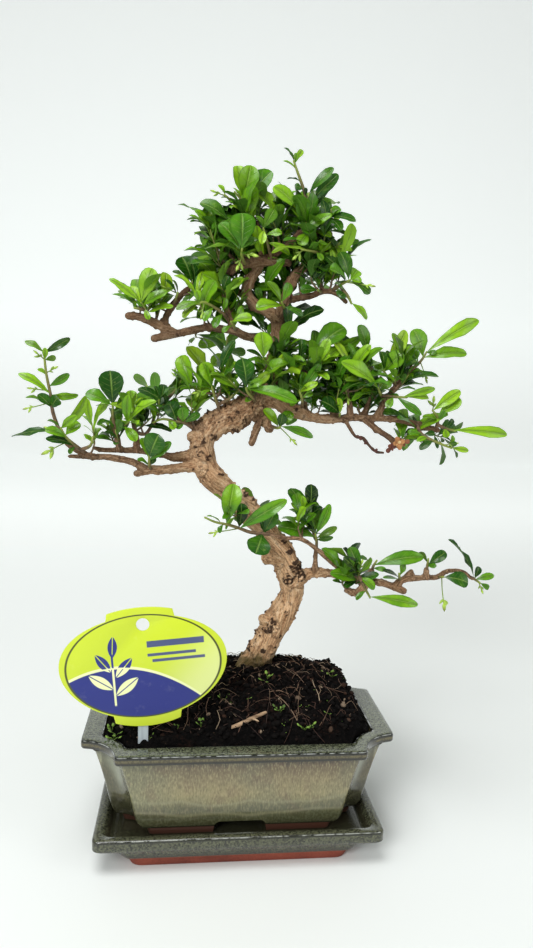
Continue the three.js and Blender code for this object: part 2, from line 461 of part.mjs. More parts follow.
// Leafy shoots. Stem points are [x, y, z]. A leaf is [place, turn, lean, length, width, roll]: the place is
// the stem's number plus the share along it, the turn is the direction from +X seen from the front, and the
// lean tilts it towards the viewer. A bud stalk is [place, turn, lean, length, size].
const SHOOTS = {
  shoot_lower_front: {
    stems: [[[13, -8, 144.3], [4, -8, 145], [-2, -8, 147], [-8, -9, 149], [-14, -8, 150], [-19, -7, 152]]],
    leaves: [
      [0.62, 84, 5, 20, 10, 0], [0.42, 90, 10, 14, 7, 15], [0.4, 38, 20, 28, 7, 20], [0.7, 150, 0, 8, 3, 50],
      [0.66, 241, 10, 5, 3, 30], [0.07, 63, 10, 13, 7, 10], [0.08, 243, 45, 13, 12, 0],
      [0.07, 102, -20, 7, 4, 30],
    ],
    buds: [[0.4, 190, 0, 13, 3]],
  },
  shoot_lower_twig: {
    stems: [[[38, 2, 134], [38, 1, 139], [37, 0, 143]]],
    leaves: [
      [0.7, 161, 15, 21, 9, 0], [0.98, 131, 20, 18, 6, 20], [0.98, 102, -10, 19, 8, 10],
      [0.98, 64, 0, 17, 5, 10],
      [0.7, 33, 10, 12, 4, 20], [0.6, 19, 30, 9, 3, 40], [0.98, 154, -20, 19, 6, 60],
    ],
  },
  shoot_lower_cluster: {
    stems: [[[59, -1, 118], [59, -5, 122], [59, -7, 126]], [[59, -6, 123], [62, -8, 117], [65, -7, 112]]],
    leaves: [
      [0.6, 131, 25, 17, 6, 0], [0.7, 115, 5, 10, 6, 10], [0.8, 54, -10, 10, 4, 30],
      [0.8, 112, -25, 14, 7, 0],
      [0.2, 158, 20, 17, 7, 0], [0.2, 202, 20, 8, 4, 20], [0.9, 147, -15, 22, 7, 65],
      [0.5, 331, 30, 10, 5, 0],
      [1.95, 351, 5, 25, 6, 10], [1.6, 216, 10, 7, 3, 20],
    ],
    buds: [[0.98, 80, 10, 4, 3]],
  },
  shoot_lower_knuckle: {
    stems: [[[67, 0, 122.5], [68, 1, 126], [70, 2, 129]]],
    leaves: [[0.6, 14, 5, 26, 8, 0], [0.5, 147, 5, 12, 3, 40], [0.4, 356, 30, 7, 3, 10]],
  },
  shoot_lower_elbow: {
    stems: [[[82, -1, 118], [81, -3, 121], [80, -5, 124]]],
    leaves: [[0.5, 154, 10, 11, 4, 30], [0.3, 168, 25, 11, 4, 40], [0.7, 69, -20, 8, 4, 20]],
  },
  shoot_lower_outer: {
    stems: [[[96, 0, 123.5], [96, -1, 127], [96, -2, 131]]],
    leaves: [[0.5, 41, 5, 12, 6, 0], [0.7, 119, -20, 8, 4, 10], [0.5, 16, 20, 6, 3, 20]],
  },
  shoot_lower_tip: {
    stems: [[[119.5, 0, 121], [122, 0, 120], [125, -1, 118]]],
    leaves: [
      [0.5, 128, 0, 26, 6, 30], [0.5, 69, -10, 7, 4, 10], [0.6, 18, 5, 10, 4, 10], [0.95, 332, 0, 6, 3, 30],
    ],
    buds: [[0.9, 290, 10, 4, 3]],
  },
  shoot_lower_round: {
    stems: [[[102, 0, 121], [104, -4, 122]]],
    leaves: [[0.9, 351, 10, 13, 9, 0]],
    buds: [[0.7, 278, 0, 14, 5]],
  },
  shoot_left_tower: {
    stems: [[[-88, -6, 192], [-91, -6, 201], [-92, -6, 209], [-94, -6, 219], [-95, -6, 229]]],
    leaves: [
      [0.98, 149, 0, 10, 4, 10], [0.98, 29, 5, 14, 4, 40], [0.9, 16, 20, 6, 3, 60], [0.5, 146, 10, 17, 5, 10],
      [0.6, 30, 0, 11, 4, 40], [0.5, 0, 10, 13, 4, 65], [0.3, 131, 15, 9, 5, 0], [0.3, 60, 15, 7, 6, 0],
      [0.3, 155, 0, 13, 4, 30], [0.72, 142, 0, 5, 3, 20], [0.35, 18, 20, 5, 3, 20], [0.9, 79, 0, 7, 3, 20],
    ],
    buds: [[0.55, 175, 0, 8, 3], [0.75, 30, 5, 4, 3], [0.4, 197, 5, 11, 3], [0.9, 140, 5, 4, 3]],
  },
  shoot_left_low: {
    stems: [
      [[-76, -5.5, 182], [-80, -11, 186], [-84, -13, 190], [-86, -14, 194]],
      [[-77, -9, 184], [-73, -11, 186], [-72, -11, 190]],
    ],
    leaves: [
      [0.6, 153, 15, 11, 5, 0], [0.7, 50, 10, 10, 7, 0], [0.8, 187, 5, 23, 5, 30], [0.3, 165, 20, 14, 5, 10],
      [0.98, 51, 0, 19, 6, 65], [0.98, 41, 10, 11, 4, 30], [0.98, 149, 10, 7, 3, 30],
      [0.3, 228, 20, 5, 3, 20],
      [1.5, 36, 15, 13, 7, 0], [1.5, 147, 20, 6, 3, 20], [1.9, 74, -5, 9, 4, 10], [1.8, 130, 0, 10, 4, 20],
      [1.7, 45, -10, 14, 5, 20],
    ],
    buds: [[0.5, 207, 5, 10, 5], [0.9, 170, 5, 6, 3]],
  },
  shoot_left_mid: {
    stems: [[[-62.5, 1, 192.5], [-64, 0, 199], [-64, 0, 205]]],
    leaves: [
      [0.95, 95, 0, 17, 12, 0], [0.95, 157, 10, 14, 7, 0], [0.9, 177, 20, 8, 3, 60], [0.7, 56, -10, 9, 4, 60],
      [0.3, 180, 10, 8, 4, 20], [0.3, 348, 20, 7, 4, 20],
    ],
  },
  shoot_left_fork: {
    stems: [
      [[-53, 5, 189.5], [-55, 4, 197], [-55, 3, 204]],
      [[-54, 5, 192], [-49, 5, 191], [-46, 5, 195], [-44, 6, 201], [-40, 7, 206], [-39, 8, 214]],
      [[-40, 7, 207], [-36, 8, 211], [-33, 8, 215]],
    ],
    leaves: [
      [0.95, 97, 0, 9, 6, 0], [0.6, 127, 10, 7, 6, 0], [0.3, 55, 10, 6, 6, 20], [0.9, 52, -10, 8, 3, 30],
      [1.95, 62, 0, 20, 6, 65], [1.9, 149, 10, 10, 4, 30], [1.8, 181, 10, 12, 4, 40],
      [1.65, 158, 20, 5, 3, 30],
    ],
    buds: [[2.95, 100, 0, 7, 3], [2.6, 60, 10, 5, 3]],
  },
  shoot_left_inner: {
    stems: [[[-24, 1, 193.5], [-29, -2, 197], [-34, -4, 198], [-40, -3, 199], [-45, 0, 197]]],
    leaves: [
      [0.32, 95, 5, 8, 6, 0], [0.3, 36, 5, 9, 4, 30], [0.28, 203, 30, 5, 5, 0], [0.48, 116, 10, 10, 9, 0],
      [0.95, 102, 10, 7, 3, 20], [0.7, 152, 10, 15, 5, 40], [0.65, 312, 20, 6, 4, 20],
    ],
  },
  shoot_left_front: {
    stems: [[[-45, -1, 174], [-46, -7, 177], [-46, -9, 183]]],
    leaves: [
      [0.8, 67, 15, 13, 11, 0], [0.7, 41, 10, 14, 5, 20], [0.75, 112, -15, 11, 5, 10],
      [0.4, 145, 10, 7, 3, 20],
      [0.45, 59, 10, 5, 3, 20],
    ],
  },
  shoot_arm_left: {
    stems: [[[-48, -1, 246], [-49, -3, 250], [-51, -4, 253]], [[-49, -3, 250], [-54, -5, 250.5]]],
    leaves: [
      [0.98, 148, 5, 18, 5, 0], [0.98, 70, 5, 17, 9, 0], [0.95, 127, -20, 11, 5, 0],
      [0.95, 56, -20, 13, 5, 0],
      [0.8, 30, 25, 14, 5, 20], [0.7, 161, 20, 5, 4, 0], [0.6, 291, 20, 6, 3, 20], [1.95, 66, 20, 5, 4, 0],
      [1.9, 103, -10, 5, 3, 20],
    ],
  },
  shoot_arm_mid: {
    stems: [[[-36, 3, 253.5], [-35, 0, 256], [-34, -1, 259]]],
    leaves: [[0.7, 190, 20, 13, 5, 20], [0.8, 133, 5, 9, 4, 30], [0.9, 111, -10, 7, 4, 50]],
    buds: [[0.95, 160, 5, 6, 3]],
  },
  shoot_arm_high: {
    stems: [[[-29.5, 5, 261], [-28, 6, 264], [-27, 6, 266]]],
    leaves: [
      [0.7, 111, 5, 13, 12, 0], [0.6, 148, -10, 11, 4, 10], [0.8, 63, -10, 13, 6, 10],
      [0.9, 73, 15, 8, 4, 30],
    ],
  },
  shoot_arm_high_in: {
    stems: [[[-12, -2, 257], [-13, -3, 261], [-15, -4, 263]]],
    leaves: [
      [0.7, 131, -10, 16, 7, 10], [0.4, 145, 15, 13, 9, 0], [0.4, 72, 5, 8, 5, 0], [0.3, 41, 5, 12, 4, 30],
      [0.4, 227, 25, 7, 3, 20],
    ],
  },
  shoot_arm_in: {
    stems: [[[-9, -1, 246.5], [-13, -6, 250], [-21, -9, 254], [-25, -10, 253]]],
    leaves: [
      [0.8, 204, 20, 13, 5, 10], [0.9, 109, 5, 6, 4, 0], [0.98, 226, 15, 10, 4, 10], [0.5, 239, 25, 9, 4, 20],
      [0.35, 72, 10, 7, 3, 40], [0.3, 233, 25, 9, 4, 10],
    ],
    buds: [[0.7, 260, 10, 6, 3]],
  },
  shoot_arm_oval: {
    stems: [[[-6, 0, 242.5], [-7, -7, 243.5], [-9, -11, 245.5]]],
    leaves: [[0.98, 12, 10, 10, 6, 0], [0.8, 60, -10, 10, 4, 40], [0.7, 218, 20, 7, 3, 20]],
  },
  shoot_top_left: {
    stems: [
      [[3, 3, 292.5], [0, 3.5, 298], [-4, 4.5, 304], [-8, 4, 308]],
      [[-1, 4, 300], [-8, 1, 302], [-13, -1, 305]],
      [[1, 3, 296], [-5, -3, 292], [-11, -5, 292]],
    ],
    leaves: [
      [0.66, 101, 0, 17, 8, 0], [0.62, 84, 5, 17, 10, 0], [0.55, 51, 10, 20, 9, 0], [0.7, 126, 20, 8, 3, 20],
      [1.95, 125, 0, 6, 3, 10], [1.5, 159, 10, 7, 3, 30], [1.4, 19, -20, 8, 4, 40], [2.95, 152, 5, 16, 9, 0],
    ],
    buds: [[1.95, 165, 5, 5, 3]],
  },
  shoot_far_left: {
    stems: [[[-5, 1, 273], [-12, 0, 280], [-17, -2, 284], [-21, -3, 290], [-23, -3, 294]]],
    leaves: [
      [0.98, 154, 0, 13, 4, 40], [0.81, 172, 10, 9, 3, 60], [0.75, 176, 15, 9, 3, 20],
      [0.62, 191, 10, 8, 3, 30],
      [0.87, 59, -10, 6, 4, 10], [0.68, 39, -10, 10, 4, 40], [0.58, 228, 10, 7, 3, 30],
      [0.98, 71, 0, 5, 3, 30],
    ],
  },
  shoot_front_pair: {
    stems: [[[0, 0.5, 275], [-3, -7, 273], [-5, -13, 276], [-5, -15, 278]]],
    leaves: [
      [0.95, 95, 5, 16, 13, 0], [0.8, 131, 15, 16, 9, 0], [0.75, 174, 10, 17, 4, 30],
      [0.95, 63, -20, 9, 6, 10],
    ],
    buds: [[0.6, 250, 20, 5, 4], [0.7, 350, 20, 5, 4]],
  },
  shoot_crown_heart: {
    stems: [[[11, 2, 276], [8, -5, 282], [5, -9, 289]]],
    leaves: [
      [0.8, 9, 15, 8, 4, 10], [0.6, 339, 15, 12, 4, 20], [0.9, 121, 5, 8, 4, 20], [0.98, 63, -10, 11, 6, 10],
      [0.95, 259, 30, 8, 4, 0], [0.7, 206, 20, 9, 4, 20],
    ],
  },
  shoot_crown_blade: {
    stems: [[[34, 3, 281], [32, -6, 280], [23, -11, 280]]],
    leaves: [
      [0.8, 183, 5, 18, 5, 20], [0.5, 85, 10, 6, 3, 20], [0.5, 35, 0, 7, 3, 30], [0.6, 309, 10, 5, 3, 20],
    ],
    buds: [[0.95, 225, 10, 4, 4]],
  },
  shoot_top_sprig: {
    stems: [
      [[27.5, 3, 298], [26, 4, 309], [22, 4, 319], [20, 4, 324]],
      [[28, 3.3, 300], [27, -2, 303], [27, -2, 308]],
      [[28, 3, 299.6], [25, 0, 298], [23, -3, 298]],
    ],
    leaves: [
      [0.98, 126, 0, 8, 3, 20], [0.98, 54, 0, 7, 3, 20], [0.9, 89, 10, 5, 3, 10], [0.7, 151, 0, 8, 3, 20],
      [0.4, 172, 10, 5, 5, 0], [0.5, 166, 0, 7, 3, 50], [0.3, 103, -10, 5, 5, 20], [1.98, 44, 5, 16, 5, 10],
      [1.5, 46, 0, 20, 6, 20], [1.7, 55, 10, 6, 3, 20], [2.9, 140, 10, 18, 10, 0],
      [2.95, 155, -15, 15, 6, 10],
      [2.6, 245, 20, 6, 6, 10],
    ],
  },
  shoot_right_high: {
    stems: [[[34, 2, 298.5], [37, -1, 298], [38, -2, 301]]],
    leaves: [
      [0.9, 127, 0, 7, 4, 10], [0.5, 37, 5, 7, 5, 0], [0.4, 354, 10, 14, 5, 10], [0.4, 315, 20, 10, 6, 0],
      [0.6, 171, -15, 8, 4, 10],
    ],
  },
  shoot_right_front: {
    stems: [[[29, 2, 294], [30, -4, 289], [24, -8, 289]]],
    leaves: [[0.98, 30, 10, 15, 5, 10], [0.3, 345, 15, 9, 5, 10], [0.8, 235, 20, 8, 6, 0]],
  },
  shoot_right_side: {
    stems: [[[38.5, 2, 286], [41, 0, 284], [43, -1, 286]]],
    leaves: [
      [0.9, 9, 5, 10, 3, 50], [0.95, 51, 0, 5, 3, 20], [0.7, 345, 10, 8, 3, 20], [0.4, 136, 0, 7, 4, 20],
    ],
  },
  shoot_right_dark: {
    stems: [[[40, 0, 263], [44, -6, 266], [48, -6, 268]], [[43, -5, 265.5], [47, -7, 260], [49, -6, 257]]],
    leaves: [
      [0.9, 110, 5, 14, 8, 0], [0.7, 129, -5, 17, 7, 0], [0.98, 55, 0, 7, 6, 10], [0.8, 162, 20, 13, 8, 0],
      [0.9, 330, 10, 12, 6, 0], [0.98, 350, 20, 6, 4, 10], [1.95, 319, 5, 11, 4, 10], [1.3, 220, 15, 4, 6, 0],
      [1.3, 141, 10, 7, 4, 20],
    ],
    buds: [[0.7, 352, 15, 12, 3]],
  },
  shoot_under_right: {
    stems: [[[36, 2, 262.5], [33, -3, 263]]],
    leaves: [[0.95, 187, 10, 9, 6, 0], [0.95, 107, -10, 7, 4, 20]],
  },
  shoot_under: {
    stems: [[[17, 3, 255.5], [17, -3, 254], [15, -7, 256]]],
    leaves: [
      [0.7, 189, 15, 14, 7, 0], [0.95, 131, 5, 12, 5, 0], [0.8, 145, 20, 7, 4, 20], [0.6, 341, 10, 10, 4, 10],
      [0.98, 68, -5, 10, 5, 20],
    ],
  },
  shoot_pad_high_left: {
    stems: [[[30, 3, 222.5], [31, 5, 230], [33, 6, 234]]],
    leaves: [
      [0.9, 70, 0, 14, 6, 10], [0.9, 42, 5, 21, 12, 0], [0.9, 18, 0, 27, 7, 65], [0.98, 138, 0, 10, 4, 30],
      [0.4, 15, 20, 6, 4, 20], [0.7, 193, 10, 10, 4, 20],
    ],
  },
  shoot_pad_high_mid: {
    stems: [[[65, 5, 223.5], [63, 8, 229], [61, 9, 234]]],
    leaves: [
      [0.98, 111, 5, 16, 8, 0], [0.9, 163, 0, 12, 5, 10], [0.6, 338, 15, 7, 4, 20], [0.8, 195, 15, 9, 4, 20],
    ],
  },
  shoot_pad_high_right: {
    stems: [[[76, 1, 218.5], [71, 0, 222], [68, 0, 226]]],
    leaves: [
      [0.9, 51, 10, 13, 9, 0], [0.98, 93, 0, 10, 6, 10], [0.95, 59, -10, 24, 7, 10], [0.7, 20, 5, 9, 4, 40],
      [0.8, 310, 20, 6, 4, 10],
    ],
  },
  shoot_pad_outer: {
    stems: [[[82.5, 1, 227], [87, 1, 231], [90, 1, 236]]],
    leaves: [
      [0.7, 114, 0, 15, 11, 0], [0.98, 35, 0, 32, 7, 10], [0.7, 8, 5, 22, 7, 10], [0.4, 124, -5, 12, 6, 10],
      [0.95, 5, 10, 6, 3, 30], [0.4, 163, 15, 7, 4, 10],
    ],
    buds: [[0.5, 290, 5, 9, 3]],
  },
  shoot_pad_pale: {
    stems: [[[70, 1, 211], [66, -5, 214], [64, -7, 217]], [[66.5, -4, 213.5], [73, -8, 213], [78, -9, 213]]],
    leaves: [
      [0.9, 150, 15, 25, 9, 0], [0.98, 168, 25, 18, 5, 20], [0.8, 39, 10, 7, 4, 10], [0.9, 78, 0, 7, 3, 20],
      [0.7, 196, 15, 16, 4, 30], [1.75, 20, 5, 17, 4, 30], [1.85, 2, 10, 13, 5, 0], [1.5, 322, 15, 15, 4, 30],
      [1.4, 234, 20, 7, 4, 10],
    ],
  },
  shoot_pad_out: {
    stems: [[[96, -2, 197.5], [96, -4, 203], [93, -4, 207]], [[96, -3, 200], [101, -3, 198], [106, -3, 197]]],
    leaves: [
      [0.98, 37, 5, 17, 6, 10], [0.6, 38, 10, 15, 8, 0], [0.4, 171, 20, 10, 4, 20], [0.4, 75, 5, 7, 4, 20],
      [0.5, 29, 15, 7, 3, 20], [1.8, 356, 0, 29, 6, 20], [1.6, 10, 0, 11, 4, 60], [1.4, 278, 20, 5, 4, 10],
      [1.5, 54, 0, 6, 3, 20],
    ],
    buds: [[0.98, 90, 5, 4, 4]],
  },
  shoot_pad_low: {
    stems: [[[86, -2, 200], [87, -8, 195], [95, -12, 191], [101, -12, 189]]],
    leaves: [
      [0.35, 169, 5, 8, 4, 10], [0.35, 14, 10, 6, 3, 20], [0.55, 209, 15, 9, 4, 10],
      [0.45, 187, 30, 8, 3, 10],
      [0.9, 40, 0, 5, 3, 30], [0.98, 352, 5, 9, 3, 30], [0.9, 71, 0, 6, 3, 30],
    ],
    buds: [[0.75, 10, 10, 5, 3]],
  },
  shoot_pad_teal: {
    stems: [[[47, 2, 201.5], [46, -5, 204]]],
    leaves: [[0.95, 151, 15, 12, 9, 0], [0.95, 121, -10, 11, 4, 30], [0.95, 97, 5, 8, 4, 20]],
  },
  shoot_pad_inner: {
    stems: [[[28, 1, 206], [27, -5, 210], [25, -7, 215]]],
    leaves: [
      [0.6, 33, 5, 6, 3, 20], [0.5, 2, 15, 5, 3, 20], [0.9, 59, 5, 17, 5, 20], [0.9, 32, 15, 10, 4, 20],
      [0.8, 130, 10, 9, 4, 20], [0.5, 206, 20, 7, 3, 20], [0.98, 76, -5, 9, 4, 20],
    ],
  },
  shoot_pad_inner_right: {
    stems: [[[52, 2, 207.5], [50, -1, 213], [48, -2, 219]]],
    leaves: [
      [0.98, 114, 5, 12, 5, 10], [0.9, 32, 10, 8, 4, 20], [0.7, 163, 10, 9, 4, 20], [0.6, 225, 15, 7, 3, 20],
      [0.98, 67, -5, 9, 4, 20],
    ],
    buds: [[0.7, 280, 15, 5, 3]],
  },
  shoot_mid_front: {
    stems: [[[5, 2, 208], [3, -5, 210], [0, -9, 213], [-1, -11, 215]]],
    leaves: [
      [0.98, 99, 5, 14, 10, 0], [0.98, 118, 10, 14, 4, 0], [0.9, 347, 15, 25, 8, 0], [0.9, 35, -5, 14, 5, 30],
      [0.98, 32, 10, 9, 4, 30],
    ],
  },
  shoot_mid_trunk: {
    stems: [[[13, 5, 224], [11, -2, 226], [7, -7, 229]]],
    leaves: [
      [0.98, 96, 10, 13, 9, 0], [0.9, 153, 5, 10, 4, 20], [0.7, 318, 25, 10, 4, 10], [0.9, 187, 20, 9, 4, 20],
    ],
  },
  shoot_mid_left: {
    stems: [[[-12, 1, 202], [-16, -3, 212], [-17, -4, 215]], [[-13, -1, 207], [-8, -4, 210], [-4, -4, 214]]],
    leaves: [
      [0.9, 112, 5, 13, 8, 0], [0.98, 82, 10, 12, 5, 10], [0.7, 169, 5, 11, 4, 20], [0.7, 202, 15, 7, 3, 20],
      [1.98, 152, 10, 16, 6, 0], [1.5, 124, 0, 8, 4, 20], [1.8, 85, -10, 7, 3, 30],
    ],
    buds: [[0.8, 195, 10, 8, 3]],
  },
  shoot_mid_low: {
    stems: [[[13, 5, 196.5], [16, -1, 196], [17, -3, 197]]],
    leaves: [
      [0.6, 133, 20, 13, 6, 0], [0.9, 149, 10, 9, 5, 10], [0.98, 55, 0, 9, 6, 0], [0.98, 343, 5, 17, 5, 10],
      [0.7, 80, 15, 8, 5, 10],
    ],
    buds: [[0.8, 315, 15, 10, 3]],
  },
};

// Shoots on the branches to the back, with leaves placed round them by rule
const BACK_STEMS = {
  shoot_back_low: [[16.5, 37.5, 137.5], [11, 41, 142], [6, 43, 147]],
  shoot_back_left: [[-39.5, 27.5, 204.7], [-46, 31, 209], [-50, 33, 215]],
  shoot_back_heart: [[-5.6, 32.6, 228.5], [-8, 36, 235], [-8, 38, 242]],
  shoot_back_pad: [[62.5, 27.5, 217.5], [68, 32, 222], [71, 34, 228]],
  shoot_back_crown: [[-16, 25, 275.5], [-17, 28, 282], [-16, 30, 289]],
  shoot_back_crown_right: [[29, 27.5, 287.5], [28, 31, 294], [26, 33, 300]],
};
const BACK_LEAVES = 8;
Object.entries(BACK_STEMS).forEach(([name, stem], kind) => {
  const leaves = Array.from({ length: BACK_LEAVES }, (_, i) => [
    0.25 + (0.7 * i) / (BACK_LEAVES - 1),
    (137.5 * i + 40 * kind) % 360,
    -15 - 40 * draw(i, kind + 40),
    i % 3 === 0 ? 16 : 12,
    6 + 2 * draw(i, kind + 60),
    20 * draw(i, kind + 70),
  ]);
  SHOOTS[name] = { stems: [stem], leaves, facesBack: true };
});

// Where something grows from a stem: its foot, its direction, and the way that it faces.
function footing({ curves, facesBack }, [place, turn, lean, , , roll = 0], [moreTurn, moreLean]) {
  const root = curves[Math.floor(place)].getPoint(place % 1);
  const [around, down] = [radians(turn + moreTurn), radians(lean + moreLean)];
  const along = vec(Math.cos(around) * Math.cos(down), -Math.sin(down), Math.sin(around) * Math.cos(down));
  const face = vec(0.1, facesBack ? 0.8 : -0.8, 0.6);
  face.addScaledVector(along, -face.dot(along)).normalize().applyAxisAngle(along, radians(roll));
  return { root, along, face, across: face.clone().cross(along) };
}

// Blade outlines as shares of the length and of the half width, for small, middling and large leaves
const BLADES = [
  { upTo: 9, outline: [[0, 0], [0.62, -1], [1, 0], [0.62, 1]], faces: [[0, 1, 2], [0, 2, 3]] },
  {
    upTo: 16,
    outline: [[0, 0], [0.6, -1], [0.97, -0.4], [0.97, 0.4], [0.6, 1]],
    faces: [[0, 1, 4], [1, 2, 3], [1, 3, 4]],
  },
  {
    upTo: 99,
    outline: [[0, 0], [0.36, -0.55], [0.72, -1], [1, 0], [0.72, 1], [0.36, 0.55], [0.7, 0]],
    faces: [[0, 1, 5], [1, 6, 5], [1, 2, 6], [6, 4, 5], [2, 3, 6], [3, 4, 6]],
  },
];

// A leaf blade, widest towards its tip, arched along and folded up beside its rib.
// `from` leaves out its foot.
function makeBlade(shoot, leaf, change, { spare = 0, from = 0 } = {}) {
  const { root, along, face, across } = footing(shoot, leaf, change);
  const length = leaf[3] * change[2];
  const half = (leaf[4] * change[2]) / 2;
  const { outline, faces } = BLADES.find(({ upTo }) => leaf[3] <= upTo);
  const rimCount = faces.length === 6 ? 6 : outline.length;
  const points = [];
  for (const side of [1, -1]) {
    for (const [share, sideShare] of outline) {
      const reach = from + (1 - from) * share;
      const rise = LEAF.arch * length * 4 * reach * (1 - reach) + LEAF.fold * half * Math.abs(sideShare);
      points.push(root.clone()
        .addScaledVector(along, reach * length + spare * (share - 0.4))
        .addScaledVector(across, sideShare * (half + spare))
        .addScaledVector(face, rise + side * (LEAF.thickness / 2 + spare)));
    }
  }
  const under = outline.length;
  const index = faces.flatMap(([a, b, c]) => [a, b, c, a + under, c + under, b + under]);
  for (let i = 0; i < rimCount; i++) {
    const next = (i + 1) % rimCount;
    index.push(i, i + under, next + under, i, next + under, next);
  }
  const geometry = new THREE.BufferGeometry();
  const positions = points.flatMap((point) => point.toArray());
  geometry.setAttribute('position', new THREE.Float32BufferAttribute(positions, 3));
  geometry.setIndex(index);
  return solidOf(geometry);
}

// A bud stalk: a thin stalk with a spindle at its end and one beside it.
function makeBud(shoot, bud, change, { spare = 0 } = {}) {
  const { root, along, face, across } = footing(shoot, bud, change);
  const length = bud[3] * change[2];
  const placeAt = (reach) => root.clone().addScaledVector(along, reach).toArray();
  const route = [0, length].map((reach) => [...placeAt(reach), BUD.stalk]);
  const solids = [tube(route, { sides: 3, spare })];
  for (const side of [0, 1]) {
    const way = along.clone().applyAxisAngle(face, radians(BUD.spread * side));
    way.applyAxisAngle(across, radians(BUD.spread * 0.6 * side));
    const foot = root.clone().addScaledVector(along, length - 0.4 - BUD.step * side);
    const tip = foot.clone().addScaledVector(way, bud[4]);
    const middle = foot.clone().lerp(tip, 0.55);
    const spindle = [[foot, 0.3], [middle, BUD.spindle * bud[4]], [tip, 0.3]];
    solids.push(tube(spindle.map(([point, radius]) => [...point.toArray(), radius]), { sides: 3, spare }));
  }
  return together(solids);
}

// Turns, leans and sizes that a leaf tries in turn until it stands clear of what is there already
const CHANGES = [
  [0, 0, 1], [0, 14, 1], [0, -14, 1], [9, 8, 0.95], [-9, 8, 0.95], [9, -14, 0.9], [-9, -14, 0.9],
  [0, 28, 0.9],
  [0, -28, 0.9], [18, 0, 0.85], [-18, 0, 0.85], [0, 40, 0.8],
];

const boxed = (solid) => ({ solid, box: solid.boundingBox() });
const boxesMeet = (a, b) => [0, 1, 2].every((i) => a.min[i] <= b.max[i] && b.min[i] <= a.max[i]);
const meets = (a, b) => boxesMeet(a.box, b.box) && a.solid.intersect(b.solid).volume() > 1e-6;

function growShoots() {
  const rooms = woodRooms.map(boxed);
  const clearOfWood = (solid) => {
    const touching = rooms.filter((room) => meets(boxed(solid), room));
    return touching.reduce((left, room) => left.subtract(room.solid), solid);
  };
  const shoots = Object.entries(SHOOTS).map(([name, shoot]) => {
    const curves = shoot.stems.map(smoothCurve);
    const stems = shoot.stems.map((stem) => tube(stem.map((point, i) => [
      ...point,
      THREE.MathUtils.lerp(STEM.root, STEM.tip, i / (stem.length - 1)),
    ]), { sides: 4 }));
    const stem = boxed(largestOf(clearOfWood(together(stems))));
    return { ...shoot, name, curves, stem, grown: [] };
  });

  const waiting = shoots.flatMap((shoot) => [
    ...shoot.leaves.map((item) => ({ shoot, item, make: makeBlade, from: 0.35 })),
    ...(shoot.buds ?? []).map((item) => ({ shoot, item, make: makeBud })),
  ]).sort((a, b) => b.item[3] - a.item[3]);
  for (const { shoot, item, make, from } of waiting) {
    for (const change of CHANGES) {
      const room = boxed(make(shoot, item, change, { spare: LEAF.room }));
      const outer = boxed(make(shoot, item, change, { spare: LEAF.room, from }));
      const others = shoots.filter((other) => other !== shoot);
      const blocked = others.some((other) => [other.stem, ...other.grown].some((solid) => meets(room, solid)))
        || (from && shoot.grown.some((solid) => meets(outer, solid)))
        || rooms.some((solid) => meets(from ? outer : room, solid));
      if (!blocked) {
        shoot.grown.push(boxed(make(shoot, item, change)));
        break;
      }
    }
  }
  for (const shoot of shoots) {
    const whole = together([shoot.stem, ...shoot.grown].map(({ solid }) => solid));
    shoot.whole = largestOf(lighter(clearOfWood(whole)));
  }
  return shoots;
}

addPart('saucer', makeSaucer(), materials.saucerGlaze);
addPart('pot', makePot(), materials.glaze);
addPart('drain_mesh', makeDrainMesh(), materials.mesh);
addPart('soil', lighter(makeSoil()), materials.soil);
addPart('trunk', lighter(together(woodTubes(0))), materials.bark);
addPart('label_plate', makeLabelPlate(), materials.label);
addPart('label_stake', makeStake(), materials.stake);
addPart('dead_twig', tube(DEAD_TWIG, { sides: 5 }), materials.deadWood);
for (const { name, whole } of growShoots()) addPart(name, whole, materials.leaf);

export default bonsai;
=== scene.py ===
# A fukien tea bonsai in a glazed pot on its saucer, with a plant label. It is dressed over its CAD solids.
# Lengths in the settings are in millimetres, with heights counted from `lift` above the underside, as in
# the solids. finishPiece raises each piece by it and turns it into metres.
import math

import bmesh
import bpy
from mathutils import Matrix, Vector, noise
from mathutils.kdtree import KDTree


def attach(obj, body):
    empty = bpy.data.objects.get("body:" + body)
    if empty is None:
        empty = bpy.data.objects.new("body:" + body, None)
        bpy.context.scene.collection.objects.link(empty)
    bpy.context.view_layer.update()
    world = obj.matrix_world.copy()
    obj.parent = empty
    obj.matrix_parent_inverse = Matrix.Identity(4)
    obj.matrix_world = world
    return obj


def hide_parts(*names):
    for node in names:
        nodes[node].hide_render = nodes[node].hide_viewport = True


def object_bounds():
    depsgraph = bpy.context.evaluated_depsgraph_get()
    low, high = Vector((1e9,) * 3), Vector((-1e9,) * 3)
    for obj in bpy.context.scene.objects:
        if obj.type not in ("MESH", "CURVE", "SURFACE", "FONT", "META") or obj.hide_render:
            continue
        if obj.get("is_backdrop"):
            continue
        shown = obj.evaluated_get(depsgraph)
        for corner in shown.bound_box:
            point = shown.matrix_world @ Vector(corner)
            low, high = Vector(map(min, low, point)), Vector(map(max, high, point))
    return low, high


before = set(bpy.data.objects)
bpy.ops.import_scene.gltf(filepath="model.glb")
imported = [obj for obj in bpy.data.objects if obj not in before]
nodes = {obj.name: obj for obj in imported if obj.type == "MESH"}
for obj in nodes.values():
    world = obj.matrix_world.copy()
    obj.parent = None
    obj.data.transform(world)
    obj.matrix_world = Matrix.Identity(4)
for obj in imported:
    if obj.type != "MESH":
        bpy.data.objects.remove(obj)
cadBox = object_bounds()
scene = bpy.context.scene
millimetre = 0.001
lift = 6
print("frame loaded,", len(nodes), "solids")


def draw(n, kind):
    # a repeatable number from 0 to 1
    wave = math.sin(n * 12.9898 + kind * 78.233) * 43758.5453
    return wave - math.floor(wave)


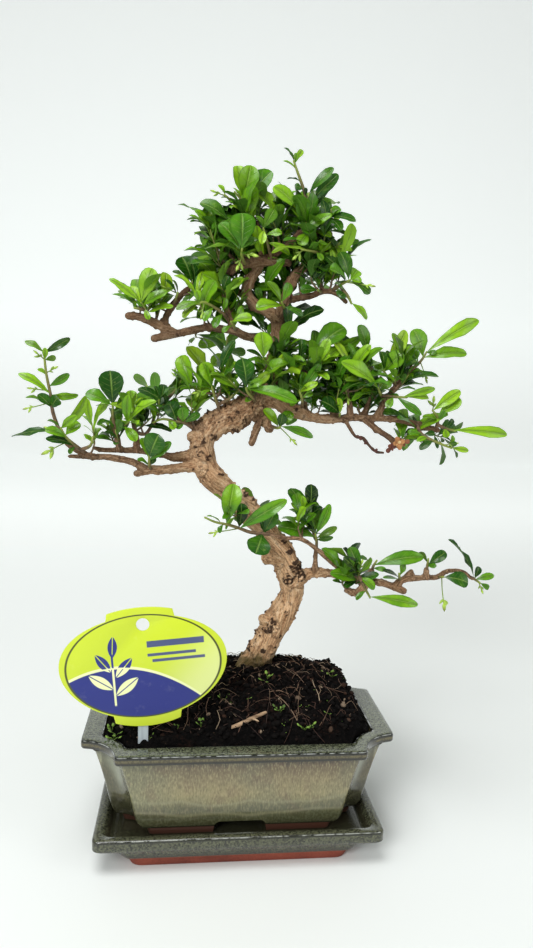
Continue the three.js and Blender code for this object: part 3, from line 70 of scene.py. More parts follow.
def between(low, high, share):
    return low + (high - low) * share


def ease(low, high, value):
    share = min(1, max(0, (value - low) / (high - low)))
    return share * share * (3 - 2 * share)


# materials
class Value:
    # one output of a material's node: sums and products of it add Math nodes
    def __init__(self, finish, socket):
        self.finish = finish
        self.socket = socket

    def __add__(self, other):
        return self.finish.math("ADD", self, other)

    def __sub__(self, other):
        return self.finish.math("SUBTRACT", self, other)

    def __rsub__(self, other):
        return self.finish.math("SUBTRACT", other, self)

    def __mul__(self, other):
        return self.finish.math("MULTIPLY", self, other)

    def __truediv__(self, other):
        return self.finish.math("DIVIDE", self, other)

    def __pow__(self, other):
        return self.finish.math("POWER", self, other)

    __radd__ = __add__
    __rmul__ = __mul__

    def __abs__(self):
        return self.finish.math("ABSOLUTE", self)

    def most(self, other):
        return self.finish.math("MAXIMUM", self, other)

    def fraction(self):
        return self.finish.math("FRACT", self)

    def over(self, low, high):
        # 0 below low, 1 above high and smooth between, or the other way round where low is the higher
        settings = {"interpolation_type": "SMOOTHSTEP", "clamp": True}
        sockets = {"Value": self, "From Min": min(low, high), "From Max": max(low, high)}
        rising = self.finish.node("ShaderNodeMapRange", settings, sockets)
        return rising if low < high else 1 - rising


def tint(red, green, blue):
    # a screen colour of 0 to 255 as the linear light that a shader wants
    linear = [
        c / 255 / 12.92 if c < 10.3 else ((c / 255 + 0.055) / 1.055) ** 2.4 for c in (red, green, blue)]
    return (*linear, 1)


class Finish:
    # a material with one Principled shader
    def __init__(self, name, **fixed):
        self.material = bpy.data.materials.new(name)
        self.material.use_nodes = True
        self.tree = self.material.node_tree
        self.shader = self.tree.nodes["Principled BSDF"]
        for socket, value in fixed.items():
            self.shader.inputs[socket.replace("_", " ")].default_value = value

    def node(self, kind, settings, sockets, out=0):
        made = self.tree.nodes.new(kind)
        for setting, value in settings.items():
            if setting == "stops":
                self.fillRamp(made.color_ramp, value)
            else:
                setattr(made, setting, value)
        for socket, value in sockets.items():
            if isinstance(value, Value):
                self.tree.links.new(value.socket, made.inputs[socket])
            else:
                made.inputs[socket].default_value = value
        return Value(self, made.outputs[out])

    def fillRamp(self, ramp, stops):
        while len(ramp.elements) < len(stops):
            ramp.elements.new(1)
        for element, (place, colour) in zip(ramp.elements, stops):
            element.position = place
            element.color = colour

    def math(self, operation, *values):
        return self.node("ShaderNodeMath", {"operation": operation}, dict(enumerate(values)))

    def mix(self, share, first, second):
        return self.node("ShaderNodeMix", {"data_type": "RGBA"}, {0: share, 6: first, 7: second}, out=2)

    def ramp(self, value, *stops):
        return self.node("ShaderNodeValToRGB", {"stops": stops}, {"Fac": value})

    def place(self):
        return self.node("ShaderNodeTexCoord", {}, {}, out=3)

    def measures(self, place):
        # a place in the settings' millimetres
        x, y, z = self.apart(place)
        return x * 1000, y * 1000, z * 1000 - lift

    def uv(self):
        return self.node("ShaderNodeTexCoord", {}, {}, out=2)

    def apart(self, vector):
        # the three coordinates of a place
        split = self.node("ShaderNodeSeparateXYZ", {}, {"Vector": vector})
        outputs = split.socket.node.outputs
        return [Value(self, output) for output in outputs]

    def attribute(self, name, out=2):
        return self.node("ShaderNodeAttribute", {"attribute_name": name}, {}, out=out)

    def stretch(self, vector, scale):
        return self.node("ShaderNodeMapping", {}, {"Vector": vector, "Scale": scale})

    def noise(self, vector, scale, detail=3, rough=0.5):
        sockets = {"Vector": vector, "Scale": scale, "Detail": detail, "Roughness": rough}
        return self.node("ShaderNodeTexNoise", {}, sockets)

    def cells(self, vector, scale):
        return self.node("ShaderNodeTexVoronoi", {}, {"Vector": vector, "Scale": scale})

    def bump(self, height, depth):
        # depth is the height of a full step, in millimetres
        sockets = {"Height": height, "Strength": 1, "Distance": depth * millimetre}
        self.dress("Normal", self.node("ShaderNodeBump", {}, sockets))

    def dress(self, socket, value):
        self.tree.links.new(value.socket, self.shader.inputs[socket])


# shaping helpers
def pointTree(points):
    # finds the points nearest to a place
    tree = KDTree(len(points))
    for i, point in enumerate(points):
        tree.insert(point, i)
    tree.balance()
    return tree


def curvePoint(points, place):
    # place counts the points: 1.5 is halfway from the second one to the third
    low = min(int(place), len(points) - 2)
    share = place - low
    start, end = points[low], points[low + 1]
    before = points[low - 1] if low > 0 else 2 * start - end
    after = points[low + 2] if low + 2 < len(points) else 2 * end - start
    out, back = (end - before) / 2, (after - start) / 2
    square, cube = share ** 2, share ** 3
    bow, twist = 3 * (end - start) - 2 * out - back, 2 * (start - end) + out + back
    return start + out * share + bow * square + twist * cube


def extrudeThrough(bm, rings):
    # a closed body: a first ring of points, extruded through the others
    start = [bm.verts.new(point) for point in rings[0]]
    face = bm.faces.new(start)
    for ring in rings[1:]:
        face = bmesh.ops.extrude_discrete_faces(bm, faces=[face])["faces"][0]
        for corner, point in zip(face.verts, ring):
            corner.co = point
    bm.faces.new(list(reversed(start)))


def sweepRings(route, sides, finer, bulge=None, tipRound=True):
    # the rings of a tube along a smooth curve through [x, y, z, radius] points
    points = [Vector(point[:3]) for point in route]
    last = len(points) - 1
    across = None
    rings = []
    for k in range(last * finer + 1):
        place = k / finer
        low = min(int(place), last - 1)
        radius = between(route[low][3], route[low + 1][3], place - low)
        ahead, behind = min(place + 0.03, last), max(place - 0.03, 0)
        along = (curvePoint(points, ahead) - curvePoint(points, behind)).normalized()
        if across is None:
            across = Vector((1, 0, 0)) if abs(along.y) > 0.9 else Vector((0, 1, 0))
        across = (across - along * across.dot(along)).normalized()
        up = along.cross(across)
        middle = curvePoint(points, place)
        caps = [(0, 1)]
        if k == last * finer and tipRound:
            caps += [(0.4, 0.88), (0.72, 0.62), (0.9, 0.3)]
        for reach, share in caps:
            ring = []
            for i in range(sides):
                angle = 2 * math.pi * i / sides
                out = radius * share * (1 + (bulge(place, angle) if bulge else 0))
                side = across * math.cos(angle) + up * math.sin(angle)
                ring.append(middle + along * (reach * radius) + side * out)
            rings.append(ring)
    return rings


def toMesh(name, bm):
    mesh = bpy.data.meshes.new(name)
    bm.to_mesh(mesh)
    bm.free()
    return mesh


def finishPiece(name, bm, finishes, stands=(), sharp=None):
    # a mesh in millimetres becomes a piece in metres that rides on the frame
    bmesh.ops.translate(bm, vec=(0, 0, lift), verts=bm.verts)
    bmesh.ops.scale(bm, vec=(millimetre,) * 3, verts=bm.verts)
    mesh = toMesh(name, bm)
    for finish in finishes:
        mesh.materials.append(finish.material)
    mesh.shade_smooth()
    if sharp is not None:
        mesh.set_sharp_from_angle(angle=math.radians(sharp))
    piece = bpy.data.objects.new(name, mesh)
    scene.collection.objects.link(piece)
    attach(piece, "root")
    if stands:
        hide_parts(*stands)


def applied(bm, *modifiers):
    # the mesh after modifiers, each a kind with its settings, back as a bmesh
    mesh = toMesh("working", bm)
    working = bpy.data.objects.new("working", mesh)
    scene.collection.objects.link(working)
    for kind, settings in modifiers:
        modifier = working.modifiers.new(kind, kind)
        for setting, value in settings.items():
            setattr(modifier, setting, value)
    bpy.context.view_layer.update()
    shaped = bpy.data.meshes.new_from_object(working.evaluated_get(bpy.context.evaluated_depsgraph_get()))
    after = bmesh.new()
    after.from_mesh(shaped)
    bpy.data.objects.remove(working)
    bpy.data.meshes.remove(mesh)
    bpy.data.meshes.remove(shaped)
    return after


def cutter(bm):
    # a body that a Boolean takes away or keeps within, gone again after removeCutter
    tool = bpy.data.objects.new("cutter", toMesh("cutter", bm))
    scene.collection.objects.link(tool)
    return tool


def removeCutter(tool):
    mesh = tool.data
    bpy.data.objects.remove(tool)
    bpy.data.meshes.remove(mesh)


# the pot and its saucer
def wholeOutline(quarter):
    # a quarter outline, anticlockwise from the right side to the back, mirrored into a whole one
    turned = quarter[::-1]
    return [
        *quarter,
        *[(-x, y) for x, y in turned],
        *[(-x, -y) for x, y in quarter],
        *[(x, -y) for x, y in turned],
    ]


def bend(start, corner, end, steps):
    # a rounded corner from start to end, without its ends
    places = []
    for i in range(1, steps):
        share = i / steps
        weights = ((1 - share) ** 2, 2 * share * (1 - share), share ** 2)
        places.append(tuple(
            sum(w * p[axis] for w, p in zip(weights, (start, corner, end))) for axis in (0, 1)))
    return places


def scoopedOutline(halfX, halfY, scoop, middleX=None, middleY=None, soft=1.6):
    # a rectangle whose corners are scooped out round a middle
    middleX = halfX if middleX is None else middleX
    middleY = halfY if middleY is None else middleY
    steps = 12
    fromSide = math.asin((middleX - halfX) / scoop)
    fromFront = math.asin((middleY - halfY) / scoop)
    sideY = middleY - scoop * math.cos(fromSide)
    frontX = middleX - scoop * math.cos(fromFront)
    low, high = fromSide + soft / scoop, math.pi / 2 - fromFront - soft / scoop
    arc = []
    for i in range(steps + 1):
        angle = between(low, high, i / steps)
        arc.append((middleX - scoop * math.sin(angle), middleY - scoop * math.cos(angle)))
    side, front = (halfX, sideY - soft), (frontX - soft, halfY)
    flats = [(halfX, side[1] * share) for share in (0.2, 0.6)]
    ends = [(front[0] * share, halfY) for share in (0.7, 0.35, 0.08)]
    corner = [
        side, *bend(side, (halfX, sideY), arc[0], 4), *arc,
        *bend(arc[-1], (frontX, halfY), front, 4), front]
    return wholeOutline(flats + corner + ends)


def roundedOutline(halfX, halfY, radius):
    steps = 6
    quarter = [(halfX, (halfY - radius) * share) for share in (0.2, 0.6)]
    for i in range(steps + 1):
        angle = math.pi / 2 * i / steps
        quarter.append((
            halfX - radius + radius * math.cos(angle), halfY - radius + radius * math.sin(angle)))
    quarter += [((halfX - radius) * share, halfY) for share in (0.7, 0.35, 0.08)]
    return wholeOutline(quarter)


def levelRings(*levels):
    return [[Vector((x, y, z)) for x, y in outline] for z, outline in levels]


pot = {
    "rim": {"halfX": 75, "halfY": 44.2, "top": 49.8, "scoop": 17},
    # the rim's edge and its lip inwards, as heights from the rim's top with how far they step in or out
    "rimEdge": (
        (-4.7, 3), (-4.6, 1.2), (-4.2, 0.3), (-3.5, 0), (-2.2, 0), (-1.1, 0), (-0.35, 0.3), (0, 1.1),
        (0, 2), (-0.1, 5)),
    "lip": ((-0.1, 1.4), (-0.5, 0.4), (-1.2, 0)),
    "opening": (65, 34.6),
    "body": {"scoop": 12.5, "wall": 4.5, "bottom": 10},
    # the wall outside and inside, as a height with half of the length and of the width
    "outside": (
        (9.7, 56, 34.8), (10.1, 56.9, 34.9), (10.6, 58.3, 35.7), (11.6, 59.4, 36.1), (13.5, 60.6, 36.4),
        (16, 61.4, 36.6), (20, 62.3, 36.9), (27, 63.7, 37.7), (34, 65.4, 38.6), (40, 67, 39.5),
        (44, 68.2, 40.1), (44.9, 69, 40.5)),
    "inside": ((40, 62.3, 33.8), (22, 58.3, 32.6), (15, 54, 30.5)),
    "foot": {
        "halfX": 56, "halfY": 34.8, "width": 7, "ground": 6, "archHalfX": 11.5, "archTop": 13,
        "sideArchHalfY": 8},
    "drain": {"radius": 6, "apart": 56},
}


def rimOutline(inset):
    rim = pot["rim"]
    return scoopedOutline(
        rim["halfX"] - inset, rim["halfY"] - inset, rim["scoop"] + inset, rim["halfX"], rim["halfY"],
        soft=2.4)


def bodyOutline(halfX, halfY):
    return scoopedOutline(halfX, halfY, pot["body"]["scoop"])


def innerOutline(halfX, halfY):
    wall = pot["body"]["wall"]
    return scoopedOutline(halfX, halfY, pot["body"]["scoop"] + wall, halfX + wall, halfY + wall)


def potHollow(shrink, floor, top):
    # a body that fills the pot from a floor to a top, a little smaller than its inside
    high, middle, low = pot["inside"]
    mouth = [(height, *pot["opening"]) for height in (pot["rim"]["top"] + 0.4, top)]
    levels = [(floor, *low[1:]), middle, high, *mouth]
    bm = bmesh.new()
    extrudeThrough(bm, levelRings(*[
        (height, innerOutline(halfX - shrink, halfY - shrink)) for height, halfX, halfY in levels]))
    return bm


def makePot(finish):
    foot, body, top = pot["foot"], pot["body"], pot["rim"]["top"]
    spanX, spanY = pot["opening"]
    inFoot = (foot["halfX"] - foot["width"], foot["halfY"] - foot["width"])
    bm = bmesh.new()
    extrudeThrough(bm, levelRings(
        (body["bottom"], innerOutline(*inFoot)),
        (foot["ground"] + 0.6, innerOutline(*inFoot)),
        (foot["ground"], innerOutline(inFoot[0] + 0.7, inFoot[1] + 0.7)),
        (foot["ground"], bodyOutline(foot["halfX"] - 1.6, foot["halfY"] - 1.4)),
        (foot["ground"] + 0.7, bodyOutline(foot["halfX"] - 0.9, foot["halfY"] - 0.7)),
        *[(height, bodyOutline(halfX, halfY)) for height, halfX, halfY in pot["outside"]],
        *[(top + height, rimOutline(inset)) for height, inset in pot["rimEdge"]],
        *[(top + height, innerOutline(spanX + out, spanY + out)) for height, out in pot["lip"]],
        *[(height, innerOutline(halfX, halfY)) for height, halfX, halfY in pot["inside"]],
    ))
    arch = bmesh.new()
    halfX, archTop, ground = foot["archHalfX"], foot["archTop"], foot["ground"]
    profile = [(-halfX - 1.4, ground - 1), (halfX + 1.4, ground - 1), (halfX + 0.6, archTop - 2.4)]
    profile += [*bend(profile[2], (halfX, archTop), (halfX - 2.6, archTop), 6), (halfX - 2.6, archTop)]
    profile += [(-x, z) for x, z in profile[:1:-1]]
    extrudeThrough(arch, [[Vector((x, y, z)) for x, z in profile] for y in (60, -60)])
    bmesh.ops.recalc_face_normals(arch, faces=arch.faces)
    cutters = [cutter(arch)]
    sideArch = bmesh.new()
    bmesh.ops.create_cube(sideArch, size=1)
    size = (140, 2 * foot["sideArchHalfY"], 2 * (body["bottom"] - ground) - 0.1)
    bmesh.ops.scale(sideArch, vec=size, verts=sideArch.verts)
    bmesh.ops.translate(sideArch, vec=(0, 0, ground), verts=sideArch.verts)
    cutters.append(cutter(sideArch))
    for side in (-1, 1):
        hole = bmesh.new()
        radius = pot["drain"]["radius"]
        bmesh.ops.create_cone(hole, cap_ends=True, segments=32, radius1=radius, radius2=radius, depth=20)
        place = (side * pot["drain"]["apart"] / 2, 0, body["bottom"])
        bmesh.ops.translate(hole, vec=place, verts=hole.verts)
        cutters.append(cutter(hole))
    cut = applied(bm, *[
        ("BOOLEAN", {"operation": "DIFFERENCE", "object": tool, "solver": "EXACT"}) for tool in cutters])
    for tool in cutters:
        removeCutter(tool)
    finishPiece("pot_glazed", cut, [finish], ["pot"], sharp=38)
    print("pot made")


saucer = {
    "halfX": 67.6, "halfY": 45.3, "top": 10.6, "wallFoot": 4.6, "floor": 6,
    "underside": {"top": 3.9, "halfX": 60, "halfY": 42.6, "foot": -1, "footHalfX": 55, "footHalfY": 40.6},
    "slab": {"top": -1.8, "halfX": 52.6, "halfY": 39.6, "baseHalfX": 51, "baseHalfY": 38.8},
}


def makeSaucer(finishes):
    top, wallFoot, under, slab = saucer["top"], saucer["wallFoot"], saucer["underside"], saucer["slab"]

    def edge(inset, radius=4):
        return roundedOutline(saucer["halfX"] - inset, saucer["halfY"] - inset, radius)

    def base(halfX, halfY):
        return roundedOutline(halfX, halfY, 5)

    bm = bmesh.new()
    extrudeThrough(bm, levelRings(
        (0.4 - lift, base(slab["baseHalfX"] - 4, slab["baseHalfY"] - 4)),
        (-lift, base(slab["baseHalfX"] - 2, slab["baseHalfY"] - 2)),
        (-lift, base(slab["baseHalfX"] - 0.5, slab["baseHalfY"] - 0.5)),
        (0.5 - lift, base(slab["baseHalfX"], slab["baseHalfY"])),
        (slab["top"] - 0.3, base(slab["halfX"], slab["halfY"])),
        (slab["top"], base(slab["halfX"] + 0.2, slab["halfY"] + 0.1)),
        (slab["top"] + 0.2, base(under["footHalfX"] - 1.2, under["footHalfY"] - 0.6)),
        (slab["top"] + 0.5, base(under["footHalfX"] - 0.3, under["footHalfY"] - 0.2)),
        (under["foot"], base(under["footHalfX"], under["footHalfY"])),
        (between(under["foot"], under["top"], 0.5), base(
            between(under["footHalfX"], under["halfX"], 0.42),
            between(under["footHalfY"], under["halfY"], 0.4))),
        (under["top"] - 0.4, base(under["halfX"] - 1, under["halfY"] - 0.3)),
        (wallFoot - 0.4, edge(2.2)),
        (wallFoot + 0.1, edge(0.9)),
        (wallFoot + 0.9, edge(0)),
        (wallFoot + 3, edge(0)),
        (top - 1, edge(0)),
        (top - 0.3, edge(0.3)),
        (top, edge(1)),
        (top - 0.1, edge(2.2)),
        (top - 0.3, edge(4.2)),
        (top - 0.8, edge(5, 3.6)),
        (saucer["floor"] + 1, edge(6.6, 3.2)),
        (saucer["floor"] + 0.2, edge(7.4, 3)),
        (saucer["floor"], edge(9, 3)),
    ))
    for face in bm.faces:
        face.material_index = 1 if face.calc_center_median().z < under["foot"] else 0
    finishPiece("saucer_glazed", bm, finishes, ["saucer"], sharp=50)
    print("saucer made")


# the wood
wood = {
    "trunkSides": 28, "limbSides": 14, "finer": 4, "guides": 6, "voxel": 0.58, "smoothing": 3,
    "knuckle": 0.15, "lump": 0.09, "ridge": 0.05, "dip": 0.05, "grit": 0.05, "wart": 2.6, "shag": 1.5,
    # the loose bark under the upper bend, which comes and goes between these places
    "looseX": ((-26, -16), (16, 8)), "looseZ": ((190, 197), (214, 206)),
    # knots only show where the wood is thicker than this
    "knotGirth": 3.6,
}
# knots and old cuts on the trunk's front, as [x, z, radius, height]
knots = [
    [12, 131, 3, 1.5], [28, 126, 3, 1.6], [30, 121, 2.8, 1.4], [24, 119, 2.4, 1.1], [19, 112, 1.8, 1],
    [13, 100, 2.4, 1.2], [15, 92, 2.4, 1.1], [18, 96, 1.7, 0.8], [24, 101, 1.3, 0.6], [22, 88, 1.2, 0.5],
    [-5, 172, 1.8, 1.3], [-8, 177, 1.4, 1.1], [1, 163, 1.8, 1.2], [6, 160, 2, 1.1], [-16, 191, 1.9, 0.8],
    [-21, 189, 1.9, 0.9], [-22, 183, 1.7, 0.9], [-18, 181, 1.6, 0.8], [-20, 204, 2.4, 1.3],
    [-14, 207, 2, 1.1], [-5, 194, 1.8, 1.2], [2, 197, 2, 1.4], [8, 200, 1.8, 1.3], [24, 134, 1.7, 0.9],
    [21, 139, 1.5, 0.9], [10, 88, 1.5, 0.9], [6, 80, 1.5, 0.8], [13, 80, 1.3, 0.6],
]
trunkRoute = [
    [4, 16, 42, 9], [6, 15, 62, 8.4], [10, 14, 71.5, 7.7], [15, 12, 82.5, 6.9], [21.5, 10.4, 96, 6.8],
    [26, 8.8, 106, 6.6], [27.3, 7.5, 114, 6.2], [24, 6, 124, 6.2], [21, 5, 132, 6.2], [15.5, 4, 140, 5.8],
    [8, 4, 148.5, 5.8], [-1.5, 4, 157.5, 5.8], [-9.5, 3, 165, 5.8], [-16.5, 2, 172, 6.1],
    [-20, 2, 179, 6.3], [-21, 2, 186, 6.2], [-19, 2, 193, 6.4], [-13, 3, 198, 6.9], [-6, 4, 201, 7],
    [0, 4, 204.5, 6.8], [6, 5, 209, 6], [10, 6, 215, 4.8], [13, 6, 222, 3.9], [14, 6, 229, 3.5],
    [15, 6, 237, 3.4], [15, 6, 244, 3.3], [15, 5, 251, 3.3],
]
limbRoutes = [
    [[12, 14, 73, 4.2], [18, 13, 66, 3.2], [24, 13, 59, 2]],
    [[6, 12, 73, 4.4], [0.5, 8, 66.5, 3.6], [-4, 2, 59, 2.2]],
    [[7, 17, 73, 4.2], [3, 24, 65, 3.2], [1, 28, 56, 2]],
    [[19, 10, 93.5, 4.4], [12.8, 8, 96.5, 2.9]],
    [[21, 5, 129, 4.6], [13, 3, 130, 3.2]],
    [[-22, 2, 189, 4.2], [-26, -1, 191, 2.8]],
    [[-21, 2, 192, 2.4], [-25, 1, 194.5, 1.6]],
    [[7, 4, 205, 2.8], [6.4, 3, 197, 1.9], [3.4, 1, 188, 1.7]],
    [[8, 5, 202, 2.8], [13, 6, 195, 2.2]],
    # lower right branch
    [[25, 7, 117, 4.4], [32, 5, 120, 4.2], [37, 4, 122, 2.6], [47, 2, 122, 2.2], [60, 0, 119, 2],
        [72, 0, 118, 1.9], [84, -2, 114, 1.8]],
    [[79, -1, 116, 1.8], [84, -1, 120, 1.8], [95, 0, 120.5, 1.6], [102, 0, 121, 1.4], [107, 0, 124, 1.3],
        [115, 0, 124, 1.2], [121, 0, 120, 1]],
    [[83, -1, 119, 1.6], [88, 0, 124, 1.3]],
    [[96, 0, 120, 1.8], [96, 0, 125, 1.6]],
    [[53, -2, 115, 1.7], [59, -2, 113, 2.2], [63, -1, 116, 2.4], [65, 0, 120, 2.4], [67, 0, 124, 1.7]],
    [[38, 3, 123, 1.8], [38, 2, 130, 1.3], [38, 2, 135, 1.2]],
    [[54, -1, 122, 1.5], [47, -4, 128, 1.3], [35, -7, 138, 1.2], [28, -8, 142, 1.2], [20, -8, 142.5, 1.1],
        [12, -8, 144.5, 1]],
    # left pad
    [[-20, 3, 183, 3.8], [-28, 4, 181, 2.8], [-35, 4, 180, 2.3], [-39, 4, 181, 1.7], [-53, 4, 183, 1.5],
        [-68, 2, 183, 1.3], [-73, 1, 184, 1.1]],
    [[-19, 1, 176, 3.8], [-27, 0, 176, 2.6], [-34, -1, 175, 2.3], [-41, -1, 174, 2.5], [-47, -1, 174, 2.3],
        [-52, -1, 172, 1.6]],
    [[-48, -1, 174.5, 2], [-55, -2, 178, 1.9], [-66, -3, 180, 1.7], [-72, -3, 180, 1.5], [-84, -3, 180, 1]],
    [[-70, -3, 180, 1.5], [-75, -5, 181, 1.4], [-80, -6, 183, 1.3], [-85, -6, 187, 1.2],
        [-88, -6, 193, 1.1]],
    [[-61, 3, 183, 1.6], [-62, 2, 189, 1.5], [-63, 1, 194, 1.3]],
    [[-53, 4, 182.5, 1.7], [-53, 5, 187, 1.6], [-53, 5, 191, 1.4]],
    # right pad
    [[7, 5, 211, 4.4], [15, 3, 209, 3.5], [21, 2, 205, 3.3], [27, 2, 204, 3.7], [34, 2, 201.5, 2.3],
        [43, 2, 201, 2.4], [53, 2, 202, 1.9], [65, 1, 202, 1.8], [75, 0, 202, 1.7], [85, -1, 200, 1.7],
        [97, -2, 197, 1.5]],
    [[66, 1, 202.5, 2], [70, 1, 211, 1.7], [76, 1, 219, 1.4], [83, 1, 228, 1.2]],
    [[60, 1, 201, 1.7], [67, -1, 196, 1.5], [72, -2, 193, 1.5], [77, -3, 189, 1.8]],
    [[53, 2, 201.5, 2], [52, 2, 209, 1.7]],
    [[29, 2, 203, 1.8], [30, 3, 210, 1.3], [30, 3, 224, 1.1]],
    [[58, 2, 201.5, 1.6], [62, 3, 210, 1.3], [65, 5, 225, 1.1]],
    [[50, 0, 200.5, 1.3], [55, -1, 193, 0.8], [59, -1, 192, 1], [65, -1, 186, 0.8], [70, -1, 185, 0.7]],
    # arm to the left
    [[13, 5, 237, 2.8], [5, 2, 239, 2.3], [-1, 1, 240, 2], [-6, 0, 242, 2.1], [-13, 0, 243, 1.9],
        [-20, 0, 243.5, 2], [-28, 0, 241.5, 2], [-45, 0, 237, 1.9]],
    [[-35, 0, 240, 2], [-41, 0, 243, 2.3], [-52, -1, 247, 1.9], [-57, -2, 247, 1.9]],
    [[-40, 0, 243, 2], [-39, 2, 249, 1.8], [-33, 4, 258, 1.6], [-29, 5, 262, 1.4]],
    [[-7, 0, 241, 1.8], [-9, -1, 248, 1.4], [-11, -2, 254, 1.2], [-12, -2, 258, 1.1]],
    # crown
    [[15, 5, 249, 3.3], [9, 5, 253, 3], [4, 4, 255, 2.9], [0, 4, 259, 2.9], [-1, 4, 263, 2.8],
        [1, 4, 268, 2.7], [4, 4, 272, 2.4], [6, 3, 276, 2.2]],
    [[-10, 1, 269, 2], [-6, 1, 273, 2.2], [0, 1, 275, 2.3], [7, 2, 276, 2.3], [19, 2, 276, 1.9]],
    [[15, 5, 249, 3.2], [18, 4, 257, 2.8], [19, 4, 262, 2.7], [21, 4, 268, 2.7], [24, 4, 272, 2.4],
        [30, 4, 277, 2.2]],
    [[21, 4, 259, 1.8], [31, 3, 261, 1.5], [36, 2, 263, 1.4], [40, 0, 263, 1.3], [44, -2, 261, 1.3],
        [47, -3, 258, 1.2]],
    [[6, 3, 276, 2.1], [12, 3, 280, 1.9], [19, 2, 285, 1.9], [25, 2, 291, 1.7], [37, 2, 301, 1.5]],
    [[30, 4, 276.5, 2], [34, 3, 281, 1.6], [38, 2, 285, 1.4], [39, 2, 291, 1.2]],
    [[30, 4, 277, 1.8], [32, 5, 286, 1.5], [34, 7, 293, 1.4]],
    [[6, 3, 276, 1.8], [5, 3, 285, 1.5], [3, 3, 294, 1.4]],
    [[24, 2, 290, 1.6], [26, 3, 294, 1.3], [28, 3, 299, 1]],
    # branches to the back
    [[23, 8, 121, 3.2], [25, 20, 127, 2.2], [22, 30, 132, 1.8], [16, 38, 138, 1.3]],
    [[-17, 4, 190, 3.2], [-24, 14, 196, 2.1], [-33, 23, 200, 1.6], [-40, 28, 205, 1.2]],
    [[4, 7, 208, 3], [5, 17, 216, 1.9], [0, 27, 222, 1.5], [-6, 33, 229, 1.1]],
    [[44, 3, 202, 2], [49, 13, 208, 1.7], [56, 22, 212, 1.5], [63, 28, 218, 1.1]],
    [[3, 5, 257, 2.4], [-5, 13, 263, 1.8], [-12, 20, 269, 1.5], [-16, 25, 276, 1.1]],
    [[22, 5, 270, 2.3], [27, 14, 274, 1.7], [30, 22, 280, 1.4], [29, 28, 288, 1.1]],
]
twigRoute = [[-5, -28, 55.1, 0.8], [-1, -27, 55.9, 1], [5, -24.5, 57.6, 0.95], [12, -22, 59.3, 0.75]]


def sweepWood(bm):
    # the trunk and its limbs, and guides along their middles
    guides = []
    for kind, route in enumerate([trunkRoute, *limbRoutes]):
        thick = kind == 0

        def bulge(place, angle, kind=kind, thick=thick):
            knuckle = noise.noise(Vector((place * (0.9 if thick else 1.6), kind * 7.3, 0)))
            side = noise.noise(Vector((math.cos(angle), math.sin(angle) + kind * 3.1, place * 0.8)))
            return wood["knuckle"] * (knuckle + 0.9 * side)

        sides = wood["trunkSides"] if thick else wood["limbSides"]
        extrudeThrough(bm, sweepRings(route, sides, wood["finer"], bulge))
        points = [Vector(point[:3]) for point in route]
        travelled = 57 * kind
        for k in range((len(route) - 1) * wood["guides"] + 1):
            place = k / wood["guides"]
            low = min(int(place), len(route) - 2)
            girth = between(route[low][3], route[low + 1][3], place - low)
            ahead = curvePoint(points, min(place + 0.05, len(points) - 1))
            along = (ahead - curvePoint(points, max(place - 0.05, 0))).normalized()
            at = curvePoint(points, place)
            travelled += (at - guides[-1]["at"]).length if k else 0
            guides.append({"at": at, "girth": girth, "along": along, "travelled": travelled})
    return guides


def barkAt(corner, guide):
    # how far the bark stands out at a corner, its place along the grain and how dark it is marked: at
    # knots, warts and loose bark, and in the cracks, where the darkening is painted shade
    girth, along, out = guide["girth"], guide["along"], corner - guide["at"]
    ahead = out.dot(along)
    grain = out - along * ahead + Vector((0.2 * (guide["travelled"] + ahead), 0, 0))
    lump = noise.noise(corner * (0.9 / (girth + 1.5)))
    ridge = noise.noise(grain * (2.2 / (girth ** 0.5 + 0.6)))
    crack = 1 - abs(noise.noise(grain * (1.5 / (girth ** 0.5 + 0.6)) + Vector((9, 4, 1)))) * 5
    grit = noise.noise(corner * 1.3)
    wart = max(0, noise.noise(corner * 0.42 + Vector((3, 8, 2))) - 0.3) * min(1, girth / 3)
    dip = max(0, crack) * min(1, girth / 4)
    shag = 1
    for value, (coming, going) in ((corner.z, wood["looseZ"]), (corner.x, wood["looseX"])):
        shag *= ease(*coming, value) * ease(*going, value)
    shag *= noise.noise(corner * 0.75) + 0.5 * noise.noise(corner * 1.7)
    push = girth * (wood["lump"] * lump + wood["ridge"] * ridge - wood["dip"] * dip) + wood["grit"] * grit
    push += wood["wart"] * wart + wood["shag"] * shag
    scar = 0
    for x, z, radius, height in knots:
        away = math.hypot(corner.x - x, corner.z - z) / radius
        if away < 1.6 and girth > wood["knotGirth"]:
            rough = 0.75 + 0.9 * noise.noise(corner * 1.2)
            push += height * rough * (ease(1.3, 0.7, away) - 0.75 * ease(0.6, 0.15, away))
            scar = max(scar, ease(1.5, 0.9, away) * (0.6 + 0.9 * noise.noise(corner * 0.9)))
    return push, grain, max(scar, 0.5 * dip, 2.2 * wart - 0.1, abs(shag) * 0.9) - 0.2 * lump


